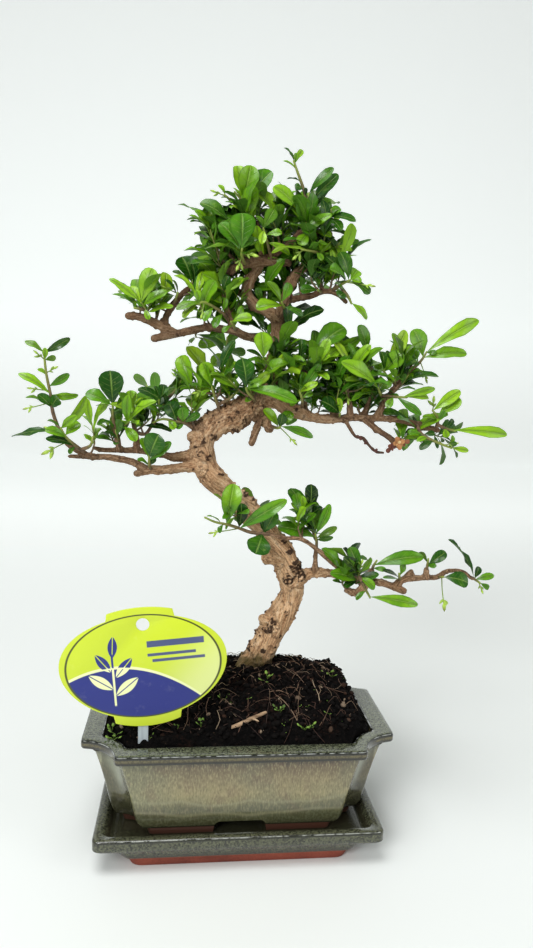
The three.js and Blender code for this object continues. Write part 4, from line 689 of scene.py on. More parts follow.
def makeWood(finish):
    bm = bmesh.new()
    guides = sweepWood(bm)
    tree = pointTree([guide["at"] for guide in guides])
    print("wood swept,", len(guides), "guides")

    bm = applied(bm, ("REMESH", {"mode": "VOXEL", "voxel_size": wood["voxel"], "adaptivity": 0}))
    for _ in range(wood["smoothing"]):
        bmesh.ops.smooth_vert(
            bm, verts=bm.verts, factor=0.5, use_axis_x=True, use_axis_y=True, use_axis_z=True)
    bm.normal_update()
    girthLayer = bm.verts.layers.float.new("girth")
    grainLayer = bm.verts.layers.float_vector.new("grain")
    barkMarksAndCrackShadeLayer = bm.verts.layers.float.new("hollow")
    places = []
    for corner in bm.verts:
        near = tree.find_n(corner.co, 3)
        best = min(near, key=lambda found: found[2] - guides[found[1]]["girth"])
        guide = guides[best[1]]
        push, grain, hollow = barkAt(corner.co, guide)
        places.append(corner.co + corner.normal * push)
        corner[girthLayer] = guide["girth"]
        corner[grainLayer] = grain
        corner[barkMarksAndCrackShadeLayer] = hollow
    for corner, place in zip(bm.verts, places):
        corner.co = place
    finishPiece("wood", bm, [finish], ["trunk"])
    print("wood made")
    return guides


# the soil and what lies on it
soil = {
    "rimLevel": 48.6, "mound": 22.4, "crestX": 5.6, "crestY": 17, "spread": 72, "floor": 16.1,
    "sheet": (134, 74), "cell": 0.7, "lump": 2.4, "crumb": 2.1, "crumbs": 4200, "crumbSize": (0.35, 2.1),
}


def soilHeight(x, y):
    crestX, crestY = soil["crestX"], soil["crestY"]
    alongX = 1 - abs((x - crestX) / soil["spread"]) ** 3.2
    reach = pot["opening"][1] + crestY if y < crestY else 1.45 * (pot["opening"][1] - crestY)
    alongY = math.cos(min(1, abs(y - crestY) / reach) * (math.pi / 2)) ** 0.85
    return soil["rimLevel"] + soil["mound"] * max(0, alongX) * alongY


def soilTop(x, y):
    # the heap with its lumps, which sinks towards the sides and the back of the pot
    toWall = min(pot["opening"][0] - abs(x), pot["opening"][1] - y)
    settled = between(soil["rimLevel"] - 0.4, soilHeight(x, y), ease(-1, 9, toWall))
    lump = soil["lump"] * noise.noise(Vector((x * 0.11, y * 0.11, 3)))
    lump += soil["crumb"] * noise.noise(Vector((x * 0.36, y * 0.36, 8)))
    lump += 0.7 * soil["crumb"] * abs(noise.noise(Vector((x * 0.95, y * 0.95, 5))))
    return settled + lump


def scatter(count, kind, margin=3):
    # places on the soil, each with its number
    spanX, spanY = pot["opening"][0] - margin, pot["opening"][1] - margin
    for i in range(count):
        x, y = spanX * (2 * draw(i, kind) - 1), spanY * (2 * draw(i, kind + 1) - 1)
        if abs(x) + abs(y) < spanX + spanY - 13:
            yield i, Vector((x, y, soilTop(x, y)))


def makeSoil(finish):
    bm = bmesh.new()
    columns, rows = [int(side / soil["cell"]) for side in soil["sheet"]]
    bmesh.ops.create_grid(bm, x_segments=columns, y_segments=rows, size=0.5)
    bmesh.ops.scale(bm, vec=(*soil["sheet"], 1), verts=bm.verts)
    for corner in bm.verts:
        corner.co.z = soilTop(corner.co.x, corner.co.y)
    rim = [edge for edge in bm.edges if edge.is_boundary]
    walls = bmesh.ops.extrude_edge_only(bm, edges=rim)["geom"]
    for corner in walls:
        if isinstance(corner, bmesh.types.BMVert):
            corner.co.z = soil["floor"]
    bmesh.ops.holes_fill(bm, edges=[edge for edge in bm.edges if edge.is_boundary], sides=0)
    bmesh.ops.recalc_face_normals(bm, faces=bm.faces)
    room = cutter(potHollow(0.3, soil["floor"] - 2, 90))
    bm = applied(bm, ("BOOLEAN", {"operation": "INTERSECT", "object": room, "solver": "EXACT"}))
    removeCutter(room)
    finishPiece("soil_heap", bm, [finish], ["soil"], sharp=60)
    print("soil made")


def makeCrumbs(finish):
    # grit and crumbs: some dark, a few pale or reddish
    bm = bmesh.new()
    shade = bm.verts.layers.float.new("shade")
    for i, place in scatter(soil["crumbs"], 11):
        size = between(*soil["crumbSize"], draw(i, 13) ** 3)
        turn = Matrix.Rotation(6.28 * draw(i, 14), 4, "Z") @ Matrix.Rotation(3 * draw(i, 15), 4, "X")
        squeeze = Matrix.Diagonal((1, between(0.5, 0.9, draw(i, 16)), between(0.4, 0.8, draw(i, 17)), 1))
        middle = Matrix.Translation(place + Vector((0, 0, size * between(-0.2, 0.45, draw(i, 18)))))
        made = bmesh.ops.create_icosphere(
            bm, subdivisions=1, radius=size, matrix=middle @ turn @ squeeze)["verts"]
        for j, corner in enumerate(made):
            corner.co += (corner.co - middle.translation) * 0.35 * (draw(i * 13 + j, 19) - 0.5)
            corner[shade] = draw(i, 20)
    finishPiece("soil_crumbs", bm, [finish])
    print("crumbs made")


fibre = {
    "count": 300, "length": (4, 20), "radius": (0.09, 0.26), "sway": 2.2,
    # how high each of its four points lies above the soil
    "rise": ((-0.4, -0.4), (0.2, 2.2), (0.2, 2.6), (-0.4, 1.6)),
}


def makeFibres(finish):
    # fine roots and fibres of bark that stick out of the soil
    bm = bmesh.new()
    shade = bm.verts.layers.float.new("shade")
    for i, place in scatter(fibre["count"], 31, margin=6):
        length = between(*fibre["length"], draw(i, 33) ** 2)
        turn = 6.28 * draw(i, 34)
        way = Vector((math.cos(turn), math.sin(turn), 0))
        girth = between(*fibre["radius"], draw(i, 35) ** 2)
        route = []
        for k, heights in enumerate(fibre["rise"]):
            at = place + way * (length * (k / 3 - 0.5))
            at += Vector((-way.y, way.x, 0)) * (fibre["sway"] * (draw(i * 7 + k, 36) - 0.5))
            rise = between(*heights, draw(i, 36 + k))
            route.append([at.x, at.y, soilTop(at.x, at.y) + rise, girth * (1 - 0.15 * k)])
        before = len(bm.verts)
        extrudeThrough(bm, sweepRings(route, 4, 2, tipRound=False))
        bm.verts.ensure_lookup_table()
        for corner in bm.verts[before:]:
            corner[shade] = draw(i, 40)
    finishPiece("soil_fibres", bm, [finish])
    print("fibres made")


tuft = {"seedling": (0.9, 2.1), "moss": (0.4, 0.9), "mossPatches": 26, "stalk": (0.1, 0.09, 0.08)}
# where seedlings stand on the soil, as [x, y]
seedlings = [
    [-30, -27], [-19, -27], [-43, -30], [-58, -26], [-60, -29], [-61, -20], [21, -28], [20, -30], [30, -30],
    [33, -29], [19, -23], [43, -22], [15, -4], [-8, -14], [50, 4], [48, 6],
]


def makeSeedlings(finish):
    bm = bmesh.new()
    shade = bm.verts.layers.float.new("shade")
    for i, (x, y) in enumerate(seedlings):
        for j in range(1 + int(2.6 * draw(i, 51))):
            out = 1.4 * draw(i * 5 + j, 52)
            turn = 6.28 * draw(i * 5 + j, 53)
            foot = Vector((x + out * math.cos(turn), y + out * math.sin(turn), 0))
            foot.z = soilTop(foot.x, foot.y)
            growTuft(bm, shade, foot, between(*tuft["seedling"], draw(i * 5 + j, 54)), i * 5 + j)
    for i, place in scatter(tuft["mossPatches"], 61, margin=5):
        growTuft(bm, shade, place, between(*tuft["moss"], draw(i, 63)), 200 + i)
    finishPiece("seedlings", bm, [finish])
    print("seedlings made")


def growTuft(bm, shade, foot, size, kind):
    # two or three tiny round leaves on hair-thin stalks
    for k in range(2 + int(2 * draw(kind, 71))):
        turn = 6.28 * draw(kind * 3 + k, 72)
        way = Vector((math.cos(turn), math.sin(turn), between(0.4, 1.2, draw(kind, 73)))).normalized()
        before = len(bm.verts)
        tip = foot + way * size * 1.4
        middle = foot.lerp(tip, 0.5) + Vector((0, 0, 0.2 * size))
        route = [[*point, radius] for point, radius in zip((foot, middle, tip), tuft["stalk"])]
        extrudeThrough(bm, sweepRings(route, 3, 1, tipRound=False))
        across = way.cross(Vector((0, 0, 1))).normalized()
        basis = Matrix((way, across, way.cross(across))).transposed().to_4x4()
        flat = Matrix.Translation(tip + way * size * 0.4) @ basis
        flat = flat @ Matrix.Diagonal((size * 0.62, size * 0.46, size * 0.12, 1))
        bmesh.ops.create_icosphere(bm, subdivisions=1, radius=1, matrix=flat)
        bm.verts.ensure_lookup_table()
        for corner in bm.verts[before:]:
            corner[shade] = draw(kind, 74)


deadTwig = {
    "sides": 10, "finer": 5, "rough": 0.16,
    "fork": [[4.6, -24.8, 57.6, 0.6], [6.4, -26.4, 58, 0.45], [8, -27.4, 57.6, 0.3]],
}


def makeDeadTwig(finish):
    def bulge(place, angle):
        return deadTwig["rough"] * noise.noise(Vector((place * 3, math.cos(angle), math.sin(angle))))

    bm = bmesh.new()
    extrudeThrough(bm, sweepRings(twigRoute, deadTwig["sides"], deadTwig["finer"], bulge))
    extrudeThrough(bm, sweepRings(deadTwig["fork"], 7, 4, bulge))
    finishPiece("dead_twig_bare", bm, [finish], ["dead_twig"])
    print("dead twig made")


# the plant label on its stake
label = {
    "x": -45.8, "y": -32.4, "z": 87, "halfWidth": 38, "halfHeight": 24.4, "tab": 15.5, "tabRise": 3.6,
    "waist": 2, "thickness": 1, "turn": 5.3, "hole": {"x": 1, "z": 20, "radius": 3}, "bow": 0.5,
    # the print, from the label's middle: leaves as (x, z, lean, length, half width) and bars as (x, z, half
    # length, half height)
    "printSpan": 100, "sprigX": -14,
    "leaves": (
        (-8.2, -8.5, 36, 6.6, 2.5), (-19.8, -5.5, 144, 6.6, 2.5), (-9, 0.6, 48, 6, 2.3),
        (-18.2, 3.4, 126, 5.6, 2.2), (-13.4, 10.6, 84, 5.2, 2.1)),
    "bars": ((15, 10.5, 13, 1.5), (13, 5.4, 11, 0.7), (16, 2.6, 12, 0.7)),
}


def labelOutline():
    halfWidth, halfHeight, waist = label["halfWidth"], label["halfHeight"], label["waist"]
    tabAngle = math.acos(label["tab"] / halfWidth)

    def oval(angle, rise):
        up = (halfHeight + rise) * math.sin(angle) + waist * math.cos(angle) ** 2
        return halfWidth * math.cos(angle), up

    def arc(start, end, steps, rise):
        return [oval(between(start, end, i / steps), rise) for i in range(steps + 1)]

    return [
        *arc(-tabAngle, tabAngle, 32, 0),
        *arc(tabAngle + 0.02, math.pi - tabAngle - 0.02, 16, label["tabRise"]),
        *arc(math.pi - tabAngle, math.pi + tabAngle, 32, 0),
        *arc(math.pi + tabAngle + 0.02, 2 * math.pi - tabAngle - 0.02, 16, label["tabRise"]),
    ]


def makeLabel(finish):
    bm = bmesh.new()
    bm.faces.new([bm.verts.new((x, 0, z)) for x, z in labelOutline()])
    hole = label["hole"]
    drill = bmesh.new()
    bmesh.ops.create_cone(
        drill, cap_ends=True, segments=36, radius1=hole["radius"], radius2=hole["radius"], depth=10,
        matrix=Matrix.Translation((hole["x"], 0, hole["z"])) @ Matrix.Rotation(math.pi / 2, 4, "X"))
    bmesh.ops.recalc_face_normals(bm, faces=bm.faces)
    front = bm.faces[:]
    if front[0].normal.y > 0:
        bmesh.ops.reverse_faces(bm, faces=front)
    body = bmesh.ops.extrude_face_region(bm, geom=front)["geom"]
    moved = [corner for corner in body if isinstance(corner, bmesh.types.BMVert)]
    bmesh.ops.translate(bm, vec=(0, -label["thickness"], 0), verts=moved)
    bmesh.ops.translate(bm, vec=(0, label["thickness"] / 2, 0), verts=bm.verts)
    tool = cutter(drill)
    bm = applied(
        bm,
        ("BOOLEAN", {"operation": "DIFFERENCE", "object": tool, "solver": "EXACT"}),
        ("BEVEL", {"width": 0.16, "segments": 2, "limit_method": "ANGLE", "angle_limit": math.radians(50)}))
    removeCutter(tool)
    artwork, span = bm.loops.layers.uv.new("UVMap"), label["printSpan"]
    for face in bm.faces:
        for corner in face.loops:
            corner[artwork].uv = (corner.vert.co.x / span + 0.5, corner.vert.co.z / span + 0.5)
    for corner in bm.verts:
        corner.co.y += label["bow"] * (corner.co.x / label["halfWidth"]) ** 2
    lean = Matrix.Rotation(math.radians(-label["turn"]), 3, "Y")
    bmesh.ops.rotate(bm, matrix=lean, verts=bm.verts, cent=(0, 0, 0))
    bmesh.ops.translate(bm, vec=(label["x"], label["y"], label["z"]), verts=bm.verts)
    finishPiece("label_card", bm, [finish], ["label_plate"], sharp=40)
    print("label made")


# the leafy shoots
# Stems are [x, y, z] points. A leaf is [place on the stem, turn, lean, length, width, roll], a bud stalk is
# [place, turn, lean, length, size]. A turn is seen from the front, and a lean tips it towards the viewer.
shoots = {
    "shoot_lower_front": {
        "stems": [[[13, -8, 144.3], [4, -8, 145], [-2, -8, 147], [-8, -9, 149], [-14, -8, 150],
            [-19, -7, 152]]],
        "leaves": [[0.62, 84, 5, 20, 10, 0], [0.42, 90, 10, 14, 7, 15], [0.4, 38, 20, 28, 7, 20],
            [0.7, 150, 0, 8, 3, 50], [0.66, 241, 10, 5, 3, 30], [0.07, 63, 10, 13, 7, 10],
            [0.08, 243, 45, 13, 12, 0], [0.07, 102, -20, 7, 4, 30]],
        "buds": [[0.4, 190, 0, 13, 3]],
    },
    "shoot_lower_twig": {
        "stems": [[[38, 2, 134], [38, 1, 139], [37, 0, 143]]],
        "leaves": [[0.7, 161, 15, 21, 9, 0], [0.98, 131, 20, 18, 6, 20], [0.98, 102, -10, 19, 8, 10],
            [0.98, 64, 0, 17, 5, 10], [0.7, 33, 10, 12, 4, 20], [0.6, 19, 30, 9, 3, 40],
            [0.98, 154, -20, 19, 6, 60]],
    },
    "shoot_lower_cluster": {
        "stems": [[[59, -1, 118], [59, -5, 122], [59, -7, 126]], [[59, -6, 123], [62, -8, 117],
            [65, -7, 112]]],
        "leaves": [[0.6, 131, 25, 17, 6, 0], [0.7, 115, 5, 10, 6, 10], [0.8, 54, -10, 10, 4, 30],
            [0.8, 112, -25, 14, 7, 0], [0.2, 158, 20, 17, 7, 0], [0.2, 202, 20, 8, 4, 20],
            [0.9, 147, -15, 22, 7, 65], [0.5, 331, 30, 10, 5, 0], [1.95, 351, 5, 25, 6, 10],
            [1.6, 216, 10, 7, 3, 20]],
        "buds": [[0.98, 80, 10, 4, 3]],
    },
    "shoot_lower_knuckle": {
        "stems": [[[67, 0, 122.5], [68, 1, 126], [70, 2, 129]]],
        "leaves": [[0.6, 14, 5, 26, 8, 0], [0.5, 147, 5, 12, 3, 40], [0.4, 356, 30, 7, 3, 10]],
    },
    "shoot_lower_elbow": {
        "stems": [[[82, -1, 118], [81, -3, 121], [80, -5, 124]]],
        "leaves": [[0.5, 154, 10, 11, 4, 30], [0.3, 168, 25, 11, 4, 40], [0.7, 69, -20, 8, 4, 20]],
    },
    "shoot_lower_outer": {
        "stems": [[[96, 0, 123.5], [96, -1, 127], [96, -2, 131]]],
        "leaves": [[0.5, 41, 5, 12, 6, 0], [0.7, 119, -20, 8, 4, 10], [0.5, 16, 20, 6, 3, 20]],
    },
    "shoot_lower_tip": {
        "stems": [[[119.5, 0, 121], [122, 0, 120], [125, -1, 118]]],
        "leaves": [[0.5, 128, 0, 26, 6, 30], [0.5, 69, -10, 7, 4, 10], [0.6, 18, 5, 10, 4, 10],
            [0.95, 332, 0, 6, 3, 30]],
        "buds": [[0.9, 290, 10, 4, 3]],
    },
    "shoot_lower_round": {
        "stems": [[[102, 0, 121], [104, -4, 122]]],
        "leaves": [[0.9, 351, 10, 13, 9, 0]],
        "buds": [[0.7, 278, 0, 14, 5]],
    },
    "shoot_left_tower": {
        "stems": [[[-88, -6, 192], [-91, -6, 201], [-92, -6, 209], [-94, -6, 219], [-95, -6, 229]]],
        "leaves": [[0.98, 149, 0, 10, 4, 10], [0.98, 29, 5, 14, 4, 40], [0.9, 16, 20, 6, 3, 60],
            [0.5, 146, 10, 17, 5, 10], [0.6, 30, 0, 11, 4, 40], [0.5, 0, 10, 13, 4, 65],
            [0.3, 131, 15, 9, 5, 0], [0.3, 60, 15, 7, 6, 0], [0.3, 155, 0, 13, 4, 30],
            [0.72, 142, 0, 5, 3, 20], [0.35, 18, 20, 5, 3, 20], [0.9, 79, 0, 7, 3, 20]],
        "buds": [[0.55, 175, 0, 8, 3], [0.75, 30, 5, 4, 3], [0.4, 197, 5, 11, 3], [0.9, 140, 5, 4, 3]],
    },
    "shoot_left_low": {
        "stems": [[[-76, -5.5, 182], [-80, -11, 186], [-84, -13, 190], [-86, -14, 194]], [[-77, -9, 184],
            [-73, -11, 186], [-72, -11, 190]]],
        "leaves": [[0.6, 153, 15, 11, 5, 0], [0.7, 50, 10, 10, 7, 0], [0.8, 187, 5, 23, 5, 30],
            [0.3, 165, 20, 14, 5, 10], [0.98, 51, 0, 19, 6, 65], [0.98, 41, 10, 11, 4, 30],
            [0.98, 149, 10, 7, 3, 30], [0.3, 228, 20, 5, 3, 20], [1.5, 36, 15, 13, 7, 0],
            [1.5, 147, 20, 6, 3, 20], [1.9, 74, -5, 9, 4, 10], [1.8, 130, 0, 10, 4, 20],
            [1.7, 45, -10, 14, 5, 20]],
        "buds": [[0.5, 207, 5, 10, 5], [0.9, 170, 5, 6, 3]],
    },
    "shoot_left_mid": {
        "stems": [[[-62.5, 1, 192.5], [-64, 0, 199], [-64, 0, 205]]],
        "leaves": [[0.95, 95, 0, 17, 12, 0], [0.95, 157, 10, 14, 7, 0], [0.9, 177, 20, 8, 3, 60],
            [0.7, 56, -10, 9, 4, 60], [0.3, 180, 10, 8, 4, 20], [0.3, 348, 20, 7, 4, 20]],
    },
    "shoot_left_fork": {
        "stems": [[[-53, 5, 189.5], [-55, 4, 197], [-55, 3, 204]], [[-54, 5, 192], [-49, 5, 191],
            [-46, 5, 195], [-44, 6, 201], [-40, 7, 206], [-39, 8, 214]], [[-40, 7, 207], [-36, 8, 211],
            [-33, 8, 215]]],
        "leaves": [[0.95, 97, 0, 9, 6, 0], [0.6, 127, 10, 7, 6, 0], [0.3, 55, 10, 6, 6, 20],
            [0.9, 52, -10, 8, 3, 30], [1.95, 62, 0, 20, 6, 65], [1.9, 149, 10, 10, 4, 30],
            [1.8, 181, 10, 12, 4, 40], [1.65, 158, 20, 5, 3, 30]],
        "buds": [[2.95, 100, 0, 7, 3], [2.6, 60, 10, 5, 3]],
    },
    "shoot_left_inner": {
        "stems": [[[-24, 1, 193.5], [-29, -2, 197], [-34, -4, 198], [-40, -3, 199], [-45, 0, 197]]],
        "leaves": [[0.32, 95, 5, 8, 6, 0], [0.3, 36, 5, 9, 4, 30], [0.28, 203, 30, 5, 5, 0],
            [0.48, 116, 10, 10, 9, 0], [0.95, 102, 10, 7, 3, 20], [0.7, 152, 10, 15, 5, 40],
            [0.65, 312, 20, 6, 4, 20]],
    },
    "shoot_left_front": {
        "stems": [[[-45, -1, 174], [-46, -7, 177], [-46, -9, 183]]],
        "leaves": [[0.8, 67, 15, 13, 11, 0], [0.7, 41, 10, 14, 5, 20], [0.75, 112, -15, 11, 5, 10],
            [0.4, 145, 10, 7, 3, 20], [0.45, 59, 10, 5, 3, 20]],
    },
    "shoot_arm_left": {
        "stems": [[[-48, -1, 246], [-49, -3, 250], [-51, -4, 253]], [[-49, -3, 250], [-54, -5, 250.5]]],
        "leaves": [[0.98, 148, 5, 18, 5, 0], [0.98, 70, 5, 17, 9, 0], [0.95, 127, -20, 11, 5, 0],
            [0.95, 56, -20, 13, 5, 0], [0.8, 30, 25, 14, 5, 20], [0.7, 161, 20, 5, 4, 0],
            [0.6, 291, 20, 6, 3, 20], [1.95, 66, 20, 5, 4, 0], [1.9, 103, -10, 5, 3, 20]],
    },
    "shoot_arm_mid": {
        "stems": [[[-36, 3, 253.5], [-35, 0, 256], [-34, -1, 259]]],
        "leaves": [[0.7, 190, 20, 13, 5, 20], [0.8, 133, 5, 9, 4, 30], [0.9, 111, -10, 7, 4, 50]],
        "buds": [[0.95, 160, 5, 6, 3]],
    },
    "shoot_arm_high": {
        "stems": [[[-29.5, 5, 261], [-28, 6, 264], [-27, 6, 266]]],
        "leaves": [[0.7, 111, 5, 13, 12, 0], [0.6, 148, -10, 11, 4, 10], [0.8, 63, -10, 13, 6, 10],
            [0.9, 73, 15, 8, 4, 30]],
    },
    "shoot_arm_high_in": {
        "stems": [[[-12, -2, 257], [-13, -3, 261], [-15, -4, 263]]],
        "leaves": [[0.7, 131, -10, 16, 7, 10], [0.4, 145, 15, 13, 9, 0], [0.4, 72, 5, 8, 5, 0],
            [0.3, 41, 5, 12, 4, 30], [0.4, 227, 25, 7, 3, 20]],
    },
    "shoot_arm_in": {
        "stems": [[[-9, -1, 246.5], [-13, -6, 250], [-21, -9, 254], [-25, -10, 253]]],
        "leaves": [[0.8, 204, 20, 13, 5, 10], [0.9, 109, 5, 6, 4, 0], [0.98, 226, 15, 10, 4, 10],
            [0.5, 239, 25, 9, 4, 20], [0.35, 72, 10, 7, 3, 40], [0.3, 233, 25, 9, 4, 10]],
        "buds": [[0.7, 260, 10, 6, 3]],
    },
    "shoot_arm_oval": {
        "stems": [[[-6, 0, 242.5], [-7, -7, 243.5], [-9, -11, 245.5]]],
        "leaves": [[0.98, 12, 10, 10, 6, 0], [0.8, 60, -10, 10, 4, 40], [0.7, 218, 20, 7, 3, 20]],
    },
    "shoot_top_left": {
        "stems": [[[3, 3, 292.5], [0, 3.5, 298], [-4, 4.5, 304], [-8, 4, 308]], [[-1, 4, 300],
            [-8, 1, 302], [-13, -1, 305]], [[1, 3, 296], [-5, -3, 292], [-11, -5, 292]]],
        "leaves": [[0.66, 101, 0, 17, 8, 0], [0.62, 84, 5, 17, 10, 0], [0.55, 51, 10, 20, 9, 0],
            [0.7, 126, 20, 8, 3, 20], [1.95, 125, 0, 6, 3, 10], [1.5, 159, 10, 7, 3, 30],
            [1.4, 19, -20, 8, 4, 40], [2.95, 152, 5, 16, 9, 0]],
        "buds": [[1.95, 165, 5, 5, 3]],
    },
    "shoot_far_left": {
        "stems": [[[-5, 1, 273], [-12, 0, 280], [-17, -2, 284], [-21, -3, 290], [-23, -3, 294]]],
        "leaves": [[0.98, 154, 0, 13, 4, 40], [0.81, 172, 10, 9, 3, 60], [0.75, 176, 15, 9, 3, 20],
            [0.62, 191, 10, 8, 3, 30], [0.87, 59, -10, 6, 4, 10], [0.68, 39, -10, 10, 4, 40],
            [0.58, 228, 10, 7, 3, 30], [0.98, 71, 0, 5, 3, 30]],
    },
    "shoot_front_pair": {
        "stems": [[[0, 0.5, 275], [-3, -7, 273], [-5, -13, 276], [-5, -15, 278]]],
        "leaves": [[0.95, 95, 5, 16, 13, 0], [0.8, 131, 15, 16, 9, 0], [0.75, 174, 10, 17, 4, 30],
            [0.95, 63, -20, 9, 6, 10]],
        "buds": [[0.6, 250, 20, 5, 4], [0.7, 350, 20, 5, 4]],
    },
    "shoot_crown_heart": {
        "stems": [[[11, 2, 276], [8, -5, 282], [5, -9, 289]]],
        "leaves": [[0.8, 9, 15, 8, 4, 10], [0.6, 339, 15, 12, 4, 20], [0.9, 121, 5, 8, 4, 20],
            [0.98, 63, -10, 11, 6, 10], [0.95, 259, 30, 8, 4, 0], [0.7, 206, 20, 9, 4, 20]],
    },
    "shoot_crown_blade": {
        "stems": [[[34, 3, 281], [32, -6, 280], [23, -11, 280]]],
        "leaves": [[0.8, 183, 5, 18, 5, 20], [0.5, 85, 10, 6, 3, 20], [0.5, 35, 0, 7, 3, 30],
            [0.6, 309, 10, 5, 3, 20]],
        "buds": [[0.95, 225, 10, 4, 4]],
    },
    "shoot_top_sprig": {
        "stems": [[[27.5, 3, 298], [26, 4, 309], [22, 4, 319], [20, 4, 324]], [[28, 3.3, 300],
            [27, -2, 303], [27, -2, 308]], [[28, 3, 299.6], [25, 0, 298], [23, -3, 298]]],
        "leaves": [[0.98, 126, 0, 8, 3, 20], [0.98, 54, 0, 7, 3, 20], [0.9, 89, 10, 5, 3, 10],
            [0.7, 151, 0, 8, 3, 20], [0.4, 172, 10, 5, 5, 0], [0.5, 166, 0, 7, 3, 50],
            [0.3, 103, -10, 5, 5, 20], [1.98, 44, 5, 16, 5, 10], [1.5, 46, 0, 20, 6, 20],
            [1.7, 55, 10, 6, 3, 20], [2.9, 140, 10, 18, 10, 0], [2.95, 155, -15, 15, 6, 10],
            [2.6, 245, 20, 6, 6, 10]],
    },
    "shoot_right_high": {
        "stems": [[[34, 2, 298.5], [37, -1, 298], [38, -2, 301]]],
        "leaves": [[0.9, 127, 0, 7, 4, 10], [0.5, 37, 5, 7, 5, 0], [0.4, 354, 10, 14, 5, 10],
            [0.4, 315, 20, 10, 6, 0], [0.6, 171, -15, 8, 4, 10]],
    },
    "shoot_right_front": {
        "stems": [[[29, 2, 294], [30, -4, 289], [24, -8, 289]]],
        "leaves": [[0.98, 30, 10, 15, 5, 10], [0.3, 345, 15, 9, 5, 10], [0.8, 235, 20, 8, 6, 0]],
    },
    "shoot_right_side": {
        "stems": [[[38.5, 2, 286], [41, 0, 284], [43, -1, 286]]],
        "leaves": [[0.9, 9, 5, 10, 3, 50], [0.95, 51, 0, 5, 3, 20], [0.7, 345, 10, 8, 3, 20],
            [0.4, 136, 0, 7, 4, 20]],
    },
    "shoot_right_dark": {
        "stems": [[[40, 0, 263], [44, -6, 266], [48, -6, 268]], [[43, -5, 265.5], [47, -7, 260],
            [49, -6, 257]]],
        "leaves": [[0.9, 110, 5, 14, 8, 0], [0.7, 129, -5, 17, 7, 0], [0.98, 55, 0, 7, 6, 10],
            [0.8, 162, 20, 13, 8, 0], [0.9, 330, 10, 12, 6, 0], [0.98, 350, 20, 6, 4, 10],
            [1.95, 319, 5, 11, 4, 10], [1.3, 220, 15, 4, 6, 0], [1.3, 141, 10, 7, 4, 20]],
        "buds": [[0.7, 352, 15, 12, 3]],
    },
    "shoot_under_right": {
        "stems": [[[36, 2, 262.5], [33, -3, 263]]],
        "leaves": [[0.95, 187, 10, 9, 6, 0], [0.95, 107, -10, 7, 4, 20]],
    },
    "shoot_under": {
        "stems": [[[17, 3, 255.5], [17, -3, 254], [15, -7, 256]]],
        "leaves": [[0.7, 189, 15, 14, 7, 0], [0.95, 131, 5, 12, 5, 0], [0.8, 145, 20, 7, 4, 20],
            [0.6, 341, 10, 10, 4, 10], [0.98, 68, -5, 10, 5, 20]],
    },
    "shoot_pad_high_left": {
        "stems": [[[30, 3, 222.5], [31, 5, 230], [33, 6, 234]]],
        "leaves": [[0.9, 70, 0, 14, 6, 10], [0.9, 42, 5, 21, 12, 0], [0.9, 18, 0, 27, 7, 65],
            [0.98, 138, 0, 10, 4, 30], [0.4, 15, 20, 6, 4, 20], [0.7, 193, 10, 10, 4, 20]],
    },
    "shoot_pad_high_mid": {
        "stems": [[[65, 5, 223.5], [63, 8, 229], [61, 9, 234]]],
        "leaves": [[0.98, 111, 5, 16, 8, 0], [0.9, 163, 0, 12, 5, 10], [0.6, 338, 15, 7, 4, 20],
            [0.8, 195, 15, 9, 4, 20]],
    },
    "shoot_pad_high_right": {
        "stems": [[[76, 1, 218.5], [71, 0, 222], [68, 0, 226]]],
        "leaves": [[0.9, 51, 10, 13, 9, 0], [0.98, 93, 0, 10, 6, 10], [0.95, 59, -10, 24, 7, 10],
            [0.7, 20, 5, 9, 4, 40], [0.8, 310, 20, 6, 4, 10]],
    },
    "shoot_pad_outer": {
        "stems": [[[82.5, 1, 227], [87, 1, 231], [90, 1, 236]]],
        "leaves": [[0.7, 114, 0, 15, 11, 0], [0.98, 35, 0, 32, 7, 10], [0.7, 8, 5, 22, 7, 10],
            [0.4, 124, -5, 12, 6, 10], [0.95, 5, 10, 6, 3, 30], [0.4, 163, 15, 7, 4, 10]],
        "buds": [[0.5, 290, 5, 9, 3]],
    },
    "shoot_pad_pale": {
        "stems": [[[70, 1, 211], [66, -5, 214], [64, -7, 217]], [[66.5, -4, 213.5], [73, -8, 213],
            [78, -9, 213]]],
        "leaves": [[0.9, 150, 15, 25, 9, 0], [0.98, 168, 25, 18, 5, 20], [0.8, 39, 10, 7, 4, 10],
            [0.9, 78, 0, 7, 3, 20], [0.7, 196, 15, 16, 4, 30], [1.75, 20, 5, 17, 4, 30],
            [1.85, 2, 10, 13, 5, 0], [1.5, 322, 15, 15, 4, 30], [1.4, 234, 20, 7, 4, 10]],
    },
    "shoot_pad_out": {
        "stems": [[[96, -2, 197.5], [96, -4, 203], [93, -4, 207]], [[96, -3, 200], [101, -3, 198],
            [106, -3, 197]]],
        "leaves": [[0.98, 37, 5, 17, 6, 10], [0.6, 38, 10, 15, 8, 0], [0.4, 171, 20, 10, 4, 20],
            [0.4, 75, 5, 7, 4, 20], [0.5, 29, 15, 7, 3, 20], [1.8, 356, 0, 29, 6, 20],
            [1.6, 10, 0, 11, 4, 60], [1.4, 278, 20, 5, 4, 10], [1.5, 54, 0, 6, 3, 20]],
        "buds": [[0.98, 90, 5, 4, 4]],
    },
    "shoot_pad_low": {
        "stems": [[[86, -2, 200], [87, -8, 195], [95, -12, 191], [101, -12, 189]]],
        "leaves": [[0.35, 169, 5, 8, 4, 10], [0.35, 14, 10, 6, 3, 20], [0.55, 209, 15, 9, 4, 10],
            [0.45, 187, 30, 8, 3, 10], [0.9, 40, 0, 5, 3, 30], [0.98, 352, 5, 9, 3, 30],
            [0.9, 71, 0, 6, 3, 30]],
        "buds": [[0.75, 10, 10, 5, 3]],
    },
    "shoot_pad_teal": {
        "stems": [[[47, 2, 201.5], [46, -5, 204]]],
